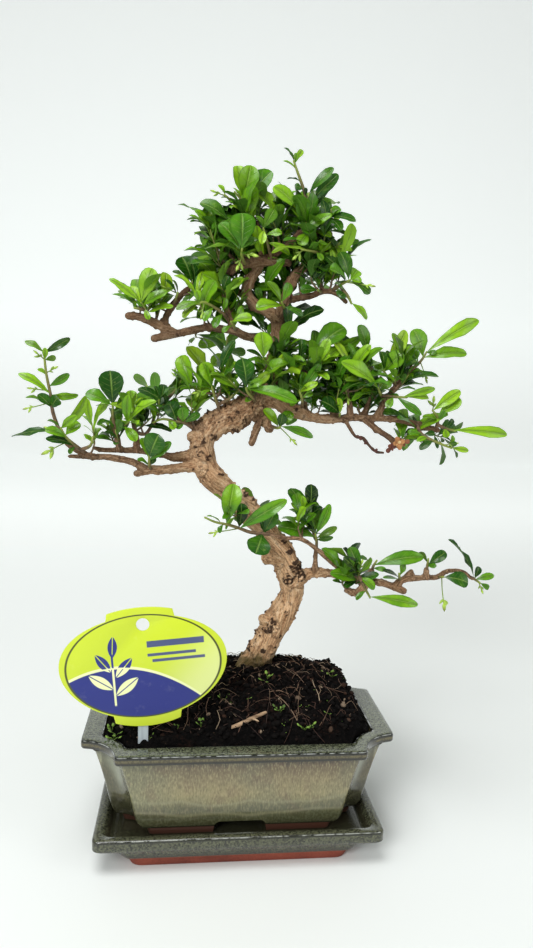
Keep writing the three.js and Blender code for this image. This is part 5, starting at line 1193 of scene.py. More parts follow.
        "leaves": [[0.95, 151, 15, 12, 9, 0], [0.95, 121, -10, 11, 4, 30], [0.95, 97, 5, 8, 4, 20]],
    },
    "shoot_pad_inner": {
        "stems": [[[28, 1, 206], [27, -5, 210], [25, -7, 215]]],
        "leaves": [[0.6, 33, 5, 6, 3, 20], [0.5, 2, 15, 5, 3, 20], [0.9, 59, 5, 17, 5, 20],
            [0.9, 32, 15, 10, 4, 20], [0.8, 130, 10, 9, 4, 20], [0.5, 206, 20, 7, 3, 20],
            [0.98, 76, -5, 9, 4, 20]],
    },
    "shoot_pad_inner_right": {
        "stems": [[[52, 2, 207.5], [50, -1, 213], [48, -2, 219]]],
        "leaves": [[0.98, 114, 5, 12, 5, 10], [0.9, 32, 10, 8, 4, 20], [0.7, 163, 10, 9, 4, 20],
            [0.6, 225, 15, 7, 3, 20], [0.98, 67, -5, 9, 4, 20]],
        "buds": [[0.7, 280, 15, 5, 3]],
    },
    "shoot_mid_front": {
        "stems": [[[5, 2, 208], [3, -5, 210], [0, -9, 213], [-1, -11, 215]]],
        "leaves": [[0.98, 99, 5, 14, 10, 0], [0.98, 118, 10, 14, 4, 0], [0.9, 347, 15, 25, 8, 0],
            [0.9, 35, -5, 14, 5, 30], [0.98, 32, 10, 9, 4, 30]],
    },
    "shoot_mid_trunk": {
        "stems": [[[13, 5, 224], [11, -2, 226], [7, -7, 229]]],
        "leaves": [[0.98, 96, 10, 13, 9, 0], [0.9, 153, 5, 10, 4, 20], [0.7, 318, 25, 10, 4, 10],
            [0.9, 187, 20, 9, 4, 20]],
    },
    "shoot_mid_left": {
        "stems": [[[-12, 1, 202], [-16, -3, 212], [-17, -4, 215]], [[-13, -1, 207], [-8, -4, 210],
            [-4, -4, 214]]],
        "leaves": [[0.9, 112, 5, 13, 8, 0], [0.98, 82, 10, 12, 5, 10], [0.7, 169, 5, 11, 4, 20],
            [0.7, 202, 15, 7, 3, 20], [1.98, 152, 10, 16, 6, 0], [1.5, 124, 0, 8, 4, 20],
            [1.8, 85, -10, 7, 3, 30]],
        "buds": [[0.8, 195, 10, 8, 3]],
    },
    "shoot_mid_low": {
        "stems": [[[13, 5, 196.5], [16, -1, 196], [17, -3, 197]]],
        "leaves": [[0.6, 133, 20, 13, 6, 0], [0.9, 149, 10, 9, 5, 10], [0.98, 55, 0, 9, 6, 0],
            [0.98, 343, 5, 17, 5, 10], [0.7, 80, 15, 8, 5, 10]],
        "buds": [[0.8, 315, 15, 10, 3]],
    },
}
backStems = {
    "shoot_back_low": [[16.5, 37.5, 137.5], [11, 41, 142], [6, 43, 147]],
    "shoot_back_left": [[-39.5, 27.5, 204.7], [-46, 31, 209], [-50, 33, 215]],
    "shoot_back_heart": [[-5.6, 32.6, 228.5], [-8, 36, 235], [-8, 38, 242]],
    "shoot_back_pad": [[62.5, 27.5, 217.5], [68, 32, 222], [71, 34, 228]],
    "shoot_back_crown": [[-16, 25, 275.5], [-17, 28, 282], [-16, 30, 289]],
    "shoot_back_crown_right": [[29, 27.5, 287.5], [28, 31, 294], [26, 33, 300]],
}


leafShape = {
    "thickness": 0.16, "arch": 0.1, "fold": (0.04, 0.45), "droop": 0.12, "sideBend": 0.06, "wave": 0.08,
    "rows": (0, 0.09, 0.26, 0.46, 0.64, 0.8, 0.92, 0.98, 1),
    "smallRows": (0, 0.13, 0.38, 0.64, 0.84, 0.95, 1),
    "round": {"widest": 0.7, "base": 1.5, "blunt": 2.3},
    "slim": {"widest": 0.62, "base": 1.25, "blunt": 1.9},
    "slimBelow": 0.42, "cadThickness": 0.7, "cadArch": 0.1, "cadFold": 0.2,
}
goldenTurn = 137.5  # from one leaf on a stem to the next
stemShape = {"root": 1.0, "tip": 0.5, "sides": 7, "finer": 3}
budShape = {
    "stalk": 0.34, "spread": 42, "step": 1.2, "girth": 0.2,
    # each spindle's swing to the side and forwards, its step back and its size, as shares
    "spindles": ((0, 0, 0, 1), (1, 1, 1, 1), (-1, 0.6, 1.6, 0.7), (0.4, -0.9, 0.8, 0.6)),
}

# the changes that a CAD leaf tried in turn, as [turn, lean, scale]: its solid stands at one of them
changes = [
    [0, 0, 1], [0, 14, 1], [0, -14, 1], [9, 8, 0.95], [-9, 8, 0.95], [9, -14, 0.9], [-9, -14, 0.9],
    [0, 28, 0.9], [0, -28, 0.9], [18, 0, 0.85], [-18, 0, 0.85], [0, 40, 0.8],
]


def addBackShoots():
    for kind, (name, stem) in enumerate(backStems.items()):
        leaves = []
        for i in range(8):
            leaves.append([
                0.25 + 0.7 * i / 7, (goldenTurn * i + 40 * kind) % 360, -15 - 40 * draw(i, kind + 40),
                16 if i % 3 == 0 else 12, 6 + 2 * draw(i, kind + 60), 20 * draw(i, kind + 70),
            ])
        shoots[name] = {"stems": [stem], "leaves": leaves, "facesBack": True}


def footing(shoot, item, change):
    # where a leaf or bud grows from its stem: its foot, its direction and the way that it faces
    place, turn, lean = item[:3]
    roll = item[5] if len(item) > 5 else 0
    stem = [Vector(point) for point in shoot["stems"][int(place)]]
    root = curvePoint(stem, (place % 1) * (len(stem) - 1))
    around, down = math.radians(turn + change[0]), math.radians(lean + change[1])
    along = Vector((math.cos(around) * math.cos(down), -math.sin(down), math.sin(around) * math.cos(down)))
    face = Vector((0.1, 0.8 if shoot.get("facesBack") else -0.8, 0.6))
    face = (face - along * face.dot(along)).normalized()
    face = Matrix.Rotation(math.radians(roll), 3, along) @ face
    return root, along, face, face.cross(along)


def cadLeafMarks(shoot, leaf, change):
    # two places on the edge of the CAD leaf's tip
    root, along, face, across = footing(shoot, leaf, change)
    length, half = leaf[3] * change[2], leaf[4] * change[2] / 2
    reach, side = (0.97, 0.4) if 9 < leaf[3] <= 16 else (1, 0)
    rise = leafShape["cadArch"] * length * 4 * reach * (1 - reach) + leafShape["cadFold"] * half * side
    middle = root + along * (reach * length) + face * rise
    thick = face * leafShape["cadThickness"] / 2
    return [middle + across * (side * half) + thick, middle - across * (side * half) - thick]


def cadBudMarks(shoot, bud, change):
    root, along, _, _ = footing(shoot, bud, change)
    return [root + along * (bud[3] * change[2] - 0.4 + bud[4])]


def standing(shoot, item, corners, marks, reach):
    # the change at which the CAD solid of a leaf or bud stands, or None where it was left out
    found = []
    raised = Vector((0, 0, lift))
    for number, change in enumerate(changes):
        spots = [(mark + raised) * millimetre for mark in marks(shoot, item, change)]
        away = max(corners.find(spot)[2] for spot in spots) / millimetre
        found.append((away, number))
    away, number = min(found)
    return changes[number] if away < reach else None


def makeBlade(rows, form):
    # a thin closed blade of length 1 and half width 1, with its skins in z at 0.5 and -0.5 and its rim at 0
    def halfWidth(share):
        if share < form["widest"]:
            return math.sin(math.pi / 2 * share / form["widest"]) ** form["base"]
        return (1 - ((share - form["widest"]) / (1 - form["widest"])) ** form["blunt"]) ** 0.5

    bm = bmesh.new()
    uv = bm.loops.layers.uv.verify()
    last = len(rows) - 1
    bmesh.ops.create_grid(bm, x_segments=last, y_segments=4, size=1, calc_uvs=True)
    for corner in bm.verts:
        share = rows[round((corner.co.x + 1) / 2 * last)]
        corner.co = (share, corner.co.y * halfWidth(share), 0)
    for face in bm.faces:
        for corner in face.loops:
            corner[uv].uv.x = corner.vert.co.x
    bm.normal_update()
    if bm.faces[:][0].normal.z < 0:
        bmesh.ops.reverse_faces(bm, faces=bm.faces)
    back = bmesh.ops.duplicate(bm, geom=bm.faces[:])
    backFaces = [face for face in back["geom"] if isinstance(face, bmesh.types.BMFace)]
    bmesh.ops.reverse_faces(bm, faces=backFaces)
    for face in backFaces:
        for corner in face.loops:
            corner[uv].uv.x += 2
    rims = {corner for edge in bm.edges if edge.is_boundary for corner in edge.verts}
    under = {corner for face in backFaces for corner in face.verts}
    for corner in bm.verts:
        if corner not in rims and 0 < corner.co.x < 1:
            corner.co.z = -0.5 if corner in under else 0.5
    bmesh.ops.remove_doubles(bm, verts=bm.verts, dist=1e-5)
    bmesh.ops.dissolve_degenerate(bm, edges=bm.edges, dist=1e-6)
    return toMesh("blade", bm)


def makeBlades(rows):
    return {form: makeBlade(rows, leafShape[form]) for form in ("round", "slim")}


def removeBlades(blades):
    for blade in blades.values():
        bpy.data.meshes.remove(blade)


def growLeaf(bm, layers, blades, spot, length, width, kind, youth, tone):
    root, along, face, across = spot
    half = width / 2
    fold = between(*leafShape["fold"], draw(kind, 101))
    bendOut = leafShape["sideBend"] * length * (2 * draw(kind, 102) - 1)
    droop = leafShape["droop"] * length * (draw(kind, 103) - 0.25)
    wave = leafShape["wave"] * length * draw(kind, 104)
    phase = 6.28 * draw(kind, 105)
    before = len(bm.verts)
    bm.from_mesh(blades["slim" if width < leafShape["slimBelow"] * length else "round"])
    bm.verts.ensure_lookup_table()
    for corner in bm.verts[before:]:
        share, side, skin = corner.co
        rise = leafShape["arch"] * length * 4 * share * (1 - share) + fold * half * abs(side) ** 1.1
        rise += wave * side * side * math.sin(9 * share + phase + (2 if side > 0 else 0))
        rise -= droop * share ** 3
        out = side * half + bendOut * share * share
        up = rise + skin * leafShape["thickness"]
        corner.co = root + along * (share * length) + across * out + face * up
        corner[layers["tone"]] = tone
        corner[layers["youth"]] = youth
        corner[layers["woody"]] = 0


def growBud(bm, layers, spot, bud, change, kind):
    # a thin stalk with a few little spindles at its end
    root, along, face, across = spot
    length, size = bud[3] * change[2], bud[4]
    sway = across * (0.06 * length * (draw(kind, 111) - 0.5))
    girth = budShape["stalk"]
    middle, tip = root + along * (length * 0.5) + sway, root + along * length
    route = [[*root, girth], [*middle, girth * 0.8], [*tip, girth]]
    faces = len(bm.faces)
    before = len(bm.verts)
    extrudeThrough(bm, sweepRings(route, 5, 3, tipRound=False))
    for side, swing, back, share in budShape["spindles"]:
        way = Matrix.Rotation(math.radians(budShape["spread"] * side), 3, face) @ along
        way = Matrix.Rotation(math.radians(budShape["spread"] * 0.6 * swing), 3, across) @ way
        foot = root + along * (length - 0.4 - budShape["step"] * back)
        tip = foot + way * size * share
        girth = budShape["girth"] * size * share
        spindle = [
            [*foot, 0.25], [*foot.lerp(tip, 0.4), girth], [*foot.lerp(tip, 0.72), girth * 0.8],
            [*tip, 0.08]]
        extrudeThrough(bm, sweepRings(spindle, 6, 2, tipRound=False))
    bm.verts.ensure_lookup_table()
    bm.faces.ensure_lookup_table()
    for corner in bm.verts[before:]:
        corner[layers["tone"]] = min(1, max(0, (corner.co - root).dot(along) / (length + size)))
        corner[layers["youth"]] = 1
        corner[layers["woody"]] = 0
    for added in bm.faces[faces:]:
        added.material_index = 2


def growStem(bm, layers, stem, kind, shape):
    route = []
    for i, point in enumerate(stem):
        route.append([*point, between(shape["root"], shape["tip"], i / (len(stem) - 1))])

    def bulge(place, angle):
        return 0.16 * noise.noise(Vector((place * 2.3, kind * 5.1, 0.6 * math.cos(angle))))

    faces = len(bm.faces)
    before = len(bm.verts)
    extrudeThrough(bm, sweepRings(route, shape["sides"], shape["finer"], bulge))
    bm.verts.ensure_lookup_table()
    bm.faces.ensure_lookup_table()
    foot, tip = Vector(stem[0]), Vector(stem[-1])
    for corner in bm.verts[before:]:
        share = (corner.co - foot).length / (tip - foot).length
        corner[layers["tone"]] = draw(kind, 121)
        corner[layers["youth"]] = min(1, share)
        corner[layers["woody"]] = 1 - ease(0.2, 0.9, share)
    for added in bm.faces[faces:]:
        added.material_index = 1


def leafLayers(bm):
    bm.loops.layers.uv.verify()
    return {key: bm.verts.layers.float.new(key) for key in ("tone", "youth", "woody")}


def makeShoots(finishes):
    blades = makeBlades(leafShape["rows"])
    count = leftOut = 0
    for shootNumber, (name, shoot) in enumerate(shoots.items()):
        bm = bmesh.new()
        layers = leafLayers(bm)
        corners = pointTree([corner.co for corner in nodes[name].data.vertices])
        for i, stem in enumerate(shoot["stems"]):
            growStem(bm, layers, stem, shootNumber * 10 + i, stemShape)
        for i, leaf in enumerate(shoot.get("leaves", [])):
            kind = shootNumber * 40 + i
            change = standing(shoot, leaf, corners, cadLeafMarks, 0.35)
            if change is None:
                leftOut += 1
                continue
            slim = 1 - ease(0.35, 0.7, leaf[4] / leaf[3])
            youth = ease(0.5, 1, leaf[0] % 1) * slim * draw(kind, 106) ** 2
            length, width = leaf[3] * change[2], leaf[4] * change[2]
            spot = footing(shoot, leaf, change)
            tone = between(0.12, 0.92, draw(kind, 107))
            growLeaf(bm, layers, blades, spot, length, width, kind, youth, tone)
            count += 1
        for i, bud in enumerate(shoot.get("buds", [])):
            change = standing(shoot, bud, corners, cadBudMarks, 0.7)
            if change is None:
                leftOut += 1
                continue
            growBud(bm, layers, footing(shoot, bud, change), bud, change, shootNumber * 40 + 30 + i)
        finishPiece(name.replace("shoot", "leaves"), bm, finishes, [name], sharp=80)
    removeBlades(blades)
    print("shoots grown:", count, "leaves,", leftOut, "left out as in the solids")


# the small leaves that fill the crown and the pads between the shoots: for each cushion the middle and
# half size in x and z, the depth from front to back and the number of its sprigs
cushions = {
    "crown_top": {"middle": (9, 296), "half": (20, 10), "depth": (-6, 14), "sprigs": 18},
    "crown_left": {"middle": (-13, 286), "half": (12, 13), "depth": (-5, 12), "sprigs": 14},
    "crown_right": {"middle": (33, 289), "half": (12, 14), "depth": (-6, 13), "sprigs": 15},
    "crown_centre": {"middle": (12, 277), "half": (22, 10), "depth": (4, 18), "sprigs": 21},
    "crown_right_low": {"middle": (38, 271), "half": (12, 10), "depth": (-5, 12), "sprigs": 8},
    "crown_under": {"middle": (13, 259), "half": (19, 10), "depth": (4, 17), "sprigs": 12},
    "arm": {"middle": (-41, 255), "half": (17, 9), "depth": (-3, 11), "sprigs": 8},
    "arm_inner": {"middle": (-13, 258), "half": (13, 12), "depth": (-4, 14), "sprigs": 12},
    "arm_low": {"middle": (-16, 243), "half": (11, 7), "depth": (-3, 9), "sprigs": 5},
    "trunk_side": {"middle": (15, 238), "half": (9, 10), "depth": (-3, 12), "sprigs": 8},
    "middle": {"middle": (1, 220), "half": (22, 10), "depth": (-8, 12), "sprigs": 12},
    "middle_right": {"middle": (26, 222), "half": (14, 14), "depth": (-6, 14), "sprigs": 13},
    "pad": {"middle": (50, 225), "half": (18, 13), "depth": (-6, 15), "sprigs": 14},
    "pad_right": {"middle": (71, 224), "half": (15, 12), "depth": (-5, 13), "sprigs": 12},
    "pad_low": {"middle": (44, 210), "half": (26, 6), "depth": (-4, 14), "sprigs": 11},
    "pad_outer_low": {"middle": (90, 194), "half": (15, 5), "depth": (-10, 4), "sprigs": 5},
    "bend": {"middle": (-20, 211), "half": (13, 8), "depth": (-3, 9), "sprigs": 5},
    "left_pad": {"middle": (-66, 202), "half": (16, 11), "depth": (-5, 9), "sprigs": 6},
    "left_pad_inner": {"middle": (-37, 203), "half": (16, 9), "depth": (-4, 9), "sprigs": 5},
    "lower_front": {"middle": (-6, 150), "half": (15, 7), "depth": (-13, -2), "sprigs": 1},
    "lower_cluster": {"middle": (26, 147), "half": (13, 8), "depth": (-4, 8), "sprigs": 4},
    "lower_branch": {"middle": (62, 124), "half": (18, 5), "depth": (-6, 5), "sprigs": 3},
}
sprig = {
    "stem": {"root": 0.6, "tip": 0.3, "sides": 5, "finer": 2}, "reach": 27, "shortest": 5, "rise": 0.22,
    "leaves": (5, 9), "length": (7, 21), "width": (0.28, 0.5), "spread": (30, 80),
}


def growSprig(bm, layers, blades, foot, tip, kind):
    # a thin twig from the wood with small leaves turning round its outer part
    way = tip - foot
    rise = Vector((0, 0, sprig["rise"] * way.length))
    aside = Vector((draw(kind, 131) - 0.5, draw(kind, 132) - 0.5, 0)) * (0.25 * way.length)
    stem = [foot, foot.lerp(tip, 0.5) - rise * 0.5 + aside, tip]
    growStem(bm, layers, stem, kind, sprig["stem"])
    count = int(between(*sprig["leaves"], draw(kind, 133)) + 0.5)
    tone = draw(kind, 134)
    for j in range(count):
        place = between(0.45, 0.99, j / (count - 1))
        root = curvePoint(stem, 2 * place)
        along = (curvePoint(stem, min(2, 2 * place + 0.1)) - curvePoint(stem, 2 * place - 0.1)).normalized()
        across = along.cross(Vector((0.2, 0.9, 0.3))).normalized()
        turn = Matrix.Rotation(math.radians(goldenTurn * j + 360 * draw(kind, 135)), 3, along)
        spread = math.radians(between(*sprig["spread"][::-1], place) + 14 * (draw(kind * 9 + j, 136) - 0.5))
        out = (along * math.cos(spread) + (turn @ across) * math.sin(spread)).normalized()
        face = Vector((0.9 * (draw(kind * 9 + j, 137) - 0.5), -0.8 * draw(kind * 9 + j, 146), 0.8))
        face = (face - out * face.dot(out)).normalized()
        length = between(*sprig["length"], draw(kind * 9 + j, 138) ** 1.5) * between(0.7, 1, place)
        width = length * between(*sprig["width"], draw(kind * 9 + j, 139))
        # a sprig leaf's tone, darker the further back the leaf stands: painted shade inside the crown
        shade = min(1, max(0, 0.12 + tone * 0.72 + 0.42 * (draw(kind * 9 + j, 140) - 0.5) - 0.018 * root.y))
        youth = ease(0.7, 1, draw(kind, 145)) * ease(0.5, 1, place)
        spot = (root, out, face, face.cross(out))
        growLeaf(bm, layers, blades, spot, length, width, kind * 9 + j, youth, shade)


def makeCushions(finishes, guides):
    blades = makeBlades(leafShape["smallRows"])
    holds = [guide["at"] for guide in guides]
    for shoot in shoots.values():
        for stem in shoot["stems"]:
            points = [Vector(point) for point in stem]
            holds += [curvePoint(points, k * (len(points) - 1) / 6) for k in range(5)]
    tree = pointTree(holds)
    grown = 0
    for number, (name, cushion) in enumerate(cushions.items()):
        bm = bmesh.new()
        layers = leafLayers(bm)
        for i in range(cushion["sprigs"]):
            kind = number * 60 + i
            turn, out = 2 * math.pi * draw(kind, 141), draw(kind, 142) ** 0.5
            tip = Vector((
                cushion["middle"][0] + cushion["half"][0] * out * math.cos(turn),
                between(*cushion["depth"], draw(kind, 143)),
                cushion["middle"][1] + cushion["half"][1] * out * math.sin(turn),
            ))
            near = tree.find_n(tip - Vector((0, 0, 6)), 12)
            foot = near[int(12 * draw(kind, 144))][0]
            if sprig["shortest"] < (tip - foot).length < sprig["reach"]:
                growSprig(bm, layers, blades, foot, tip, kind)
                grown += 1
        finishPiece("sprigs_" + name, bm, finishes, sharp=80)
    removeBlades(blades)
    print("cushions filled with", grown, "sprigs")


# a withered flower and dry husks at the ends of twigs
dried = {
    # place, length of a petal, number of petals, shade
    "bunches": (
        ((75.6, -6.2, 190.2), 4.2, 7, 0.78), ((72.4, -5.5, 188), 4.4, 5, 0.28),
        ((78.2, -5.6, 190.6), 4, 4, 0.38), ((56.7, -2.4, 192.4), 2.6, 3, 0.1),
        ((65, -2.4, 186), 2.6, 3, 0.15), ((60, -2.4, 190.4), 2.2, 3, 0.1),
    ),
    "width": 0.62,
}


def makeDried(finish):
    blades = makeBlades(leafShape["smallRows"])
    bm = bmesh.new()
    layers = leafLayers(bm)
    for number, (place, length, petals, shade) in enumerate(dried["bunches"]):
        for k in range(petals):
            kind = 9000 + number * 10 + k
            turn = 6.28 * (k + 0.7 * draw(kind, 151)) / petals
            out = Vector((math.cos(turn), between(-0.9, 0, draw(kind, 153)), math.sin(turn))).normalized()
            face = (Vector((0, -1, 0.2)) - out * Vector((0, -1, 0.2)).dot(out)).normalized()
            long = length * between(0.5, 1, draw(kind, 152))
            spot = (Vector(place) - out * 0.4, out, face, face.cross(out))
            tone = shade * between(0.5, 1.1, draw(kind, 154))
            growLeaf(bm, layers, blades, spot, long, long * dried["width"], kind, 0, tone)
    finishPiece("dried_flower", bm, [finish], sharp=80)
    removeBlades(blades)
    print("dried flower made")


# finishes
def leafFinish():
    made = Finish("leaf", Roughness=0.36, Specular_IOR_Level=0.22, Coat_Weight=0.24, Coat_Roughness=0.16)
    along, across, _ = made.apart(made.uv())
    tone, youth = made.attribute("tone"), made.attribute("youth")
    under = along.over(1.4, 1.6)
    share = along - under * 2
    side = abs(across - 0.5) * 2
    place = made.place()
    mottle = made.noise(place, 420, 3)
    patch = made.noise(place, 130, 2)
    _, _, height = made.measures(place)
    # a leaf's tone with its patches, made darker lower down, below 170 mm: painted shade on the lower
    # leaves
    shade = tone * 0.8 + patch * 0.4 - height.over(170, 150) * 0.2 - 0.1
    green = made.ramp(
        shade, (0, tint(8, 34, 6)), (0.28, tint(28, 76, 8)), (0.52, tint(76, 132, 14)),
        (0.8, tint(128, 176, 24)))
    green = made.mix(youth * 0.7, green, tint(172, 212, 44))
    rib = side.over(0.13, 0.02)
    sideVein = (share * 6.5 - side * 1.3).fraction() - 0.5
    vein = abs(sideVein).over(0.09, 0.02) * side.over(0.95, 0.5)
    vein = vein * share.over(0.05, 0.25) * share.over(0.95, 0.8)
    lines = (rib * 0.3).most(vein * 0.12)
    # darker towards the rim and beside the midrib: painted shade of the curled edge and of the fold
    rimAndFoldShade = (side.over(0.78, 1) * 0.45).most(side.over(0.5, 0.14) * 0.3)
    top = made.mix(rimAndFoldShade, green, tint(24, 64, 8))
    top = made.mix(lines, top, tint(170, 208, 96))
    top = made.mix(mottle.over(0.55, 0.8) * 0.2, top, tint(172, 204, 96))
    below = made.mix(0.35, green, tint(104, 148, 56))
    below = made.mix(lines, below, tint(150, 188, 92))
    made.dress("Base Color", made.mix(under, top, below))
    made.dress("Roughness", under * 0.25 + mottle * 0.2 + 0.24)
    made.bump(mottle * 0.4 + patch * 0.9 - rib - vein * 0.4, 0.4)
    return made


def stemFinish():
    made = Finish("stem", Roughness=0.6)
    woody, youth = made.attribute("woody"), made.attribute("youth")
    grit = made.noise(made.place(), 900, 3)
    green = made.ramp(
        youth * 0.7 + grit * 0.4, (0, tint(84, 78, 40)), (0.6, tint(112, 116, 50)), (1, tint(138, 158, 60)))
    bark = made.ramp(grit, (0.35, tint(62, 46, 32)), (0.62, tint(122, 94, 66)))
    made.dress("Base Color", made.mix(woody, green, bark))
    made.bump(grit, 0.08)
    return made


def budFinish():
    made = Finish("bud", Roughness=0.45)
    tone = made.attribute("tone")
    speck = made.noise(made.place(), 1500, 2)
    colour = made.ramp(
        tone + speck * 0.12, (0.1, tint(98, 112, 42)), (0.62, tint(128, 160, 52)),
        (0.86, tint(176, 208, 78)), (1, tint(120, 132, 48)))
    made.dress("Base Color", colour)
    made.bump(speck, 0.05)
    return made


def barkFinish():
    made = Finish("bark", Roughness=0.85, Specular_IOR_Level=0.25)
    place = made.place()
    grain = made.attribute("grain", out=1)
    girth, hollow = made.attribute("girth"), made.attribute("hollow")
    long, fine = made.noise(grain, 0.32, 4, 0.6), made.noise(grain, 1.2, 4, 0.7)
    patch, spot = made.noise(place, 70, 3), made.noise(place, 360, 2)
    grit = made.noise(place, 1200, 3, 0.65)
    tan = made.ramp(
        long * 0.35 + fine * 0.45 + grit * 0.2, (0.36, tint(104, 72, 46)), (0.43, tint(168, 126, 90)),
        (0.51, tint(216, 174, 132)), (0.62, tint(242, 212, 176)))
    twig = made.ramp(
        fine * 0.6 + grit * 0.4, (0.36, tint(72, 50, 36)), (0.48, tint(128, 98, 72)),
        (0.62, tint(184, 152, 120)))
    colour = made.mix(girth.over(1.5, 3.2), twig, tan)
    colour = made.mix(patch.over(0.5, 0.68) * 0.25, colour, tint(160, 116, 80))
    flecks = spot.over(0.6, 0.68) * 0.55
    streaks = made.noise(grain, 2.1, 3).over(0.56, 0.66) * 0.5
    # dark at knots, warts and loose bark, and in the cracks, where the darkening is painted shade
    dark = flecks.most(streaks).most(hollow.over(0.24, 0.66) * 0.95)
    colour = made.mix(dark, colour, tint(46, 28, 20))
    x, _, height = made.measures(place)
    moss = (height + (made.noise(place, 240, 3) - 0.5) * 14).over(79, 73)
    colour = made.mix(moss * 0.8, colour, tint(64, 62, 24))
    # darker higher up and most in the crown: painted shade of the leaves over the limbs
    colour = made.mix(height.over(120, 200) * 0.3 + height.over(212, 236) * 0.25, colour, tint(84, 60, 42))
    # the dry twig hanging under the right pad
    dry = x.over(46, 50) * x.over(74, 68) * height.over(197, 193) * height.over(170, 176)
    colour = made.mix(dry * 0.7, colour, tint(66, 44, 42))
    made.dress("Base Color", colour)
    made.dress("Roughness", long * 0.2 + 0.72)
    made.bump(long * 0.6 + fine + grit * 0.25 - streaks * 0.4, 1.0)
    return made


def soilFinish():
    made = Finish("soil", Roughness=0.95, Specular_IOR_Level=0.1)
    place = made.place()
    lump, grain = made.noise(place, 160, 4, 0.7), made.noise(place, 640, 4, 0.7)
    bit = made.cells(place, 520)
    colour = made.ramp(
        grain * 0.6 + lump * 0.4, (0.36, tint(1, 1, 1)), (0.54, tint(5, 4, 4)), (0.66, tint(20, 15, 12)),
        (0.8, tint(58, 42, 32)))
    redder = made.noise(place, 48, 2).over(0.5, 0.66)
    colour = made.mix(redder * grain.over(0.44, 0.6) * 0.22, colour, tint(58, 34, 24))
    colour = made.mix(bit.over(0.14, 0.06) * grain.over(0.55, 0.62) * 0.4, colour, tint(96, 74, 58))
    made.dress("Base Color", colour)
    made.bump(grain * 0.8 + lump + bit * 0.4, 1.2)
    return made


def crumbFinish():
    made = Finish("crumb", Roughness=0.9, Specular_IOR_Level=0.12)
    shade = made.attribute("shade")
    grain = made.noise(made.place(), 1300, 3)
    colour = made.ramp(
        shade, (0, tint(2, 2, 2)), (0.72, tint(8, 7, 6)), (0.88, tint(26, 18, 15)),
        (0.95, tint(64, 44, 34)), (0.98, tint(150, 132, 112)))
    made.dress("Base Color", made.mix(grain * 0.6, colour, tint(18, 13, 11)))
    made.bump(grain, 0.2)
    return made


def fibreFinish():
    made = Finish("fibre", Roughness=0.85)
    shade = made.attribute("shade")
    grain = made.noise(made.place(), 1500, 2)
    colour = made.ramp(
        shade, (0, tint(40, 26, 20)), (0.45, tint(80, 52, 40)), (0.72, tint(126, 98, 76)),
        (1, tint(188, 168, 140)))
    made.dress("Base Color", made.mix(grain * 0.5, colour, tint(54, 36, 28)))
    made.bump(grain, 0.06)
    return made


def mossFinish():
    made = Finish("moss", Roughness=0.7)
    shade = made.attribute("shade")
    grain = made.noise(made.place(), 1800, 2)
    colour = made.ramp(shade, (0, tint(70, 96, 34)), (0.5, tint(104, 140, 48)), (1, tint(150, 188, 78)))
    made.dress("Base Color", made.mix(grain * 0.4, colour, tint(66, 84, 36)))
    made.bump(grain, 0.05)
    return made


def driedFinish():
    made = Finish("dried", Roughness=0.8)
    grain = made.noise(made.place(), 700, 3)
    colour = made.ramp(
        made.attribute("tone") + grain * 0.24 - 0.12, (0, tint(58, 34, 34)), (0.35, tint(126, 70, 48)),
        (0.62, tint(178, 126, 74)), (0.9, tint(232, 208, 150)))
    made.dress("Base Color", colour)
    made.bump(grain, 0.15)
    return made


def deadWoodFinish():
    made = Finish("dead_wood", Roughness=0.85)
    place = made.place()
    streak = made.noise(made.stretch(place, (60, 420, 420)), 1, 4)
    colour = made.ramp(
        streak, (0.3, tint(96, 72, 52)), (0.52, tint(166, 138, 108)), (0.75, tint(206, 184, 154)))
    made.dress("Base Color", colour)
    made.bump(streak, 0.25)
    return made


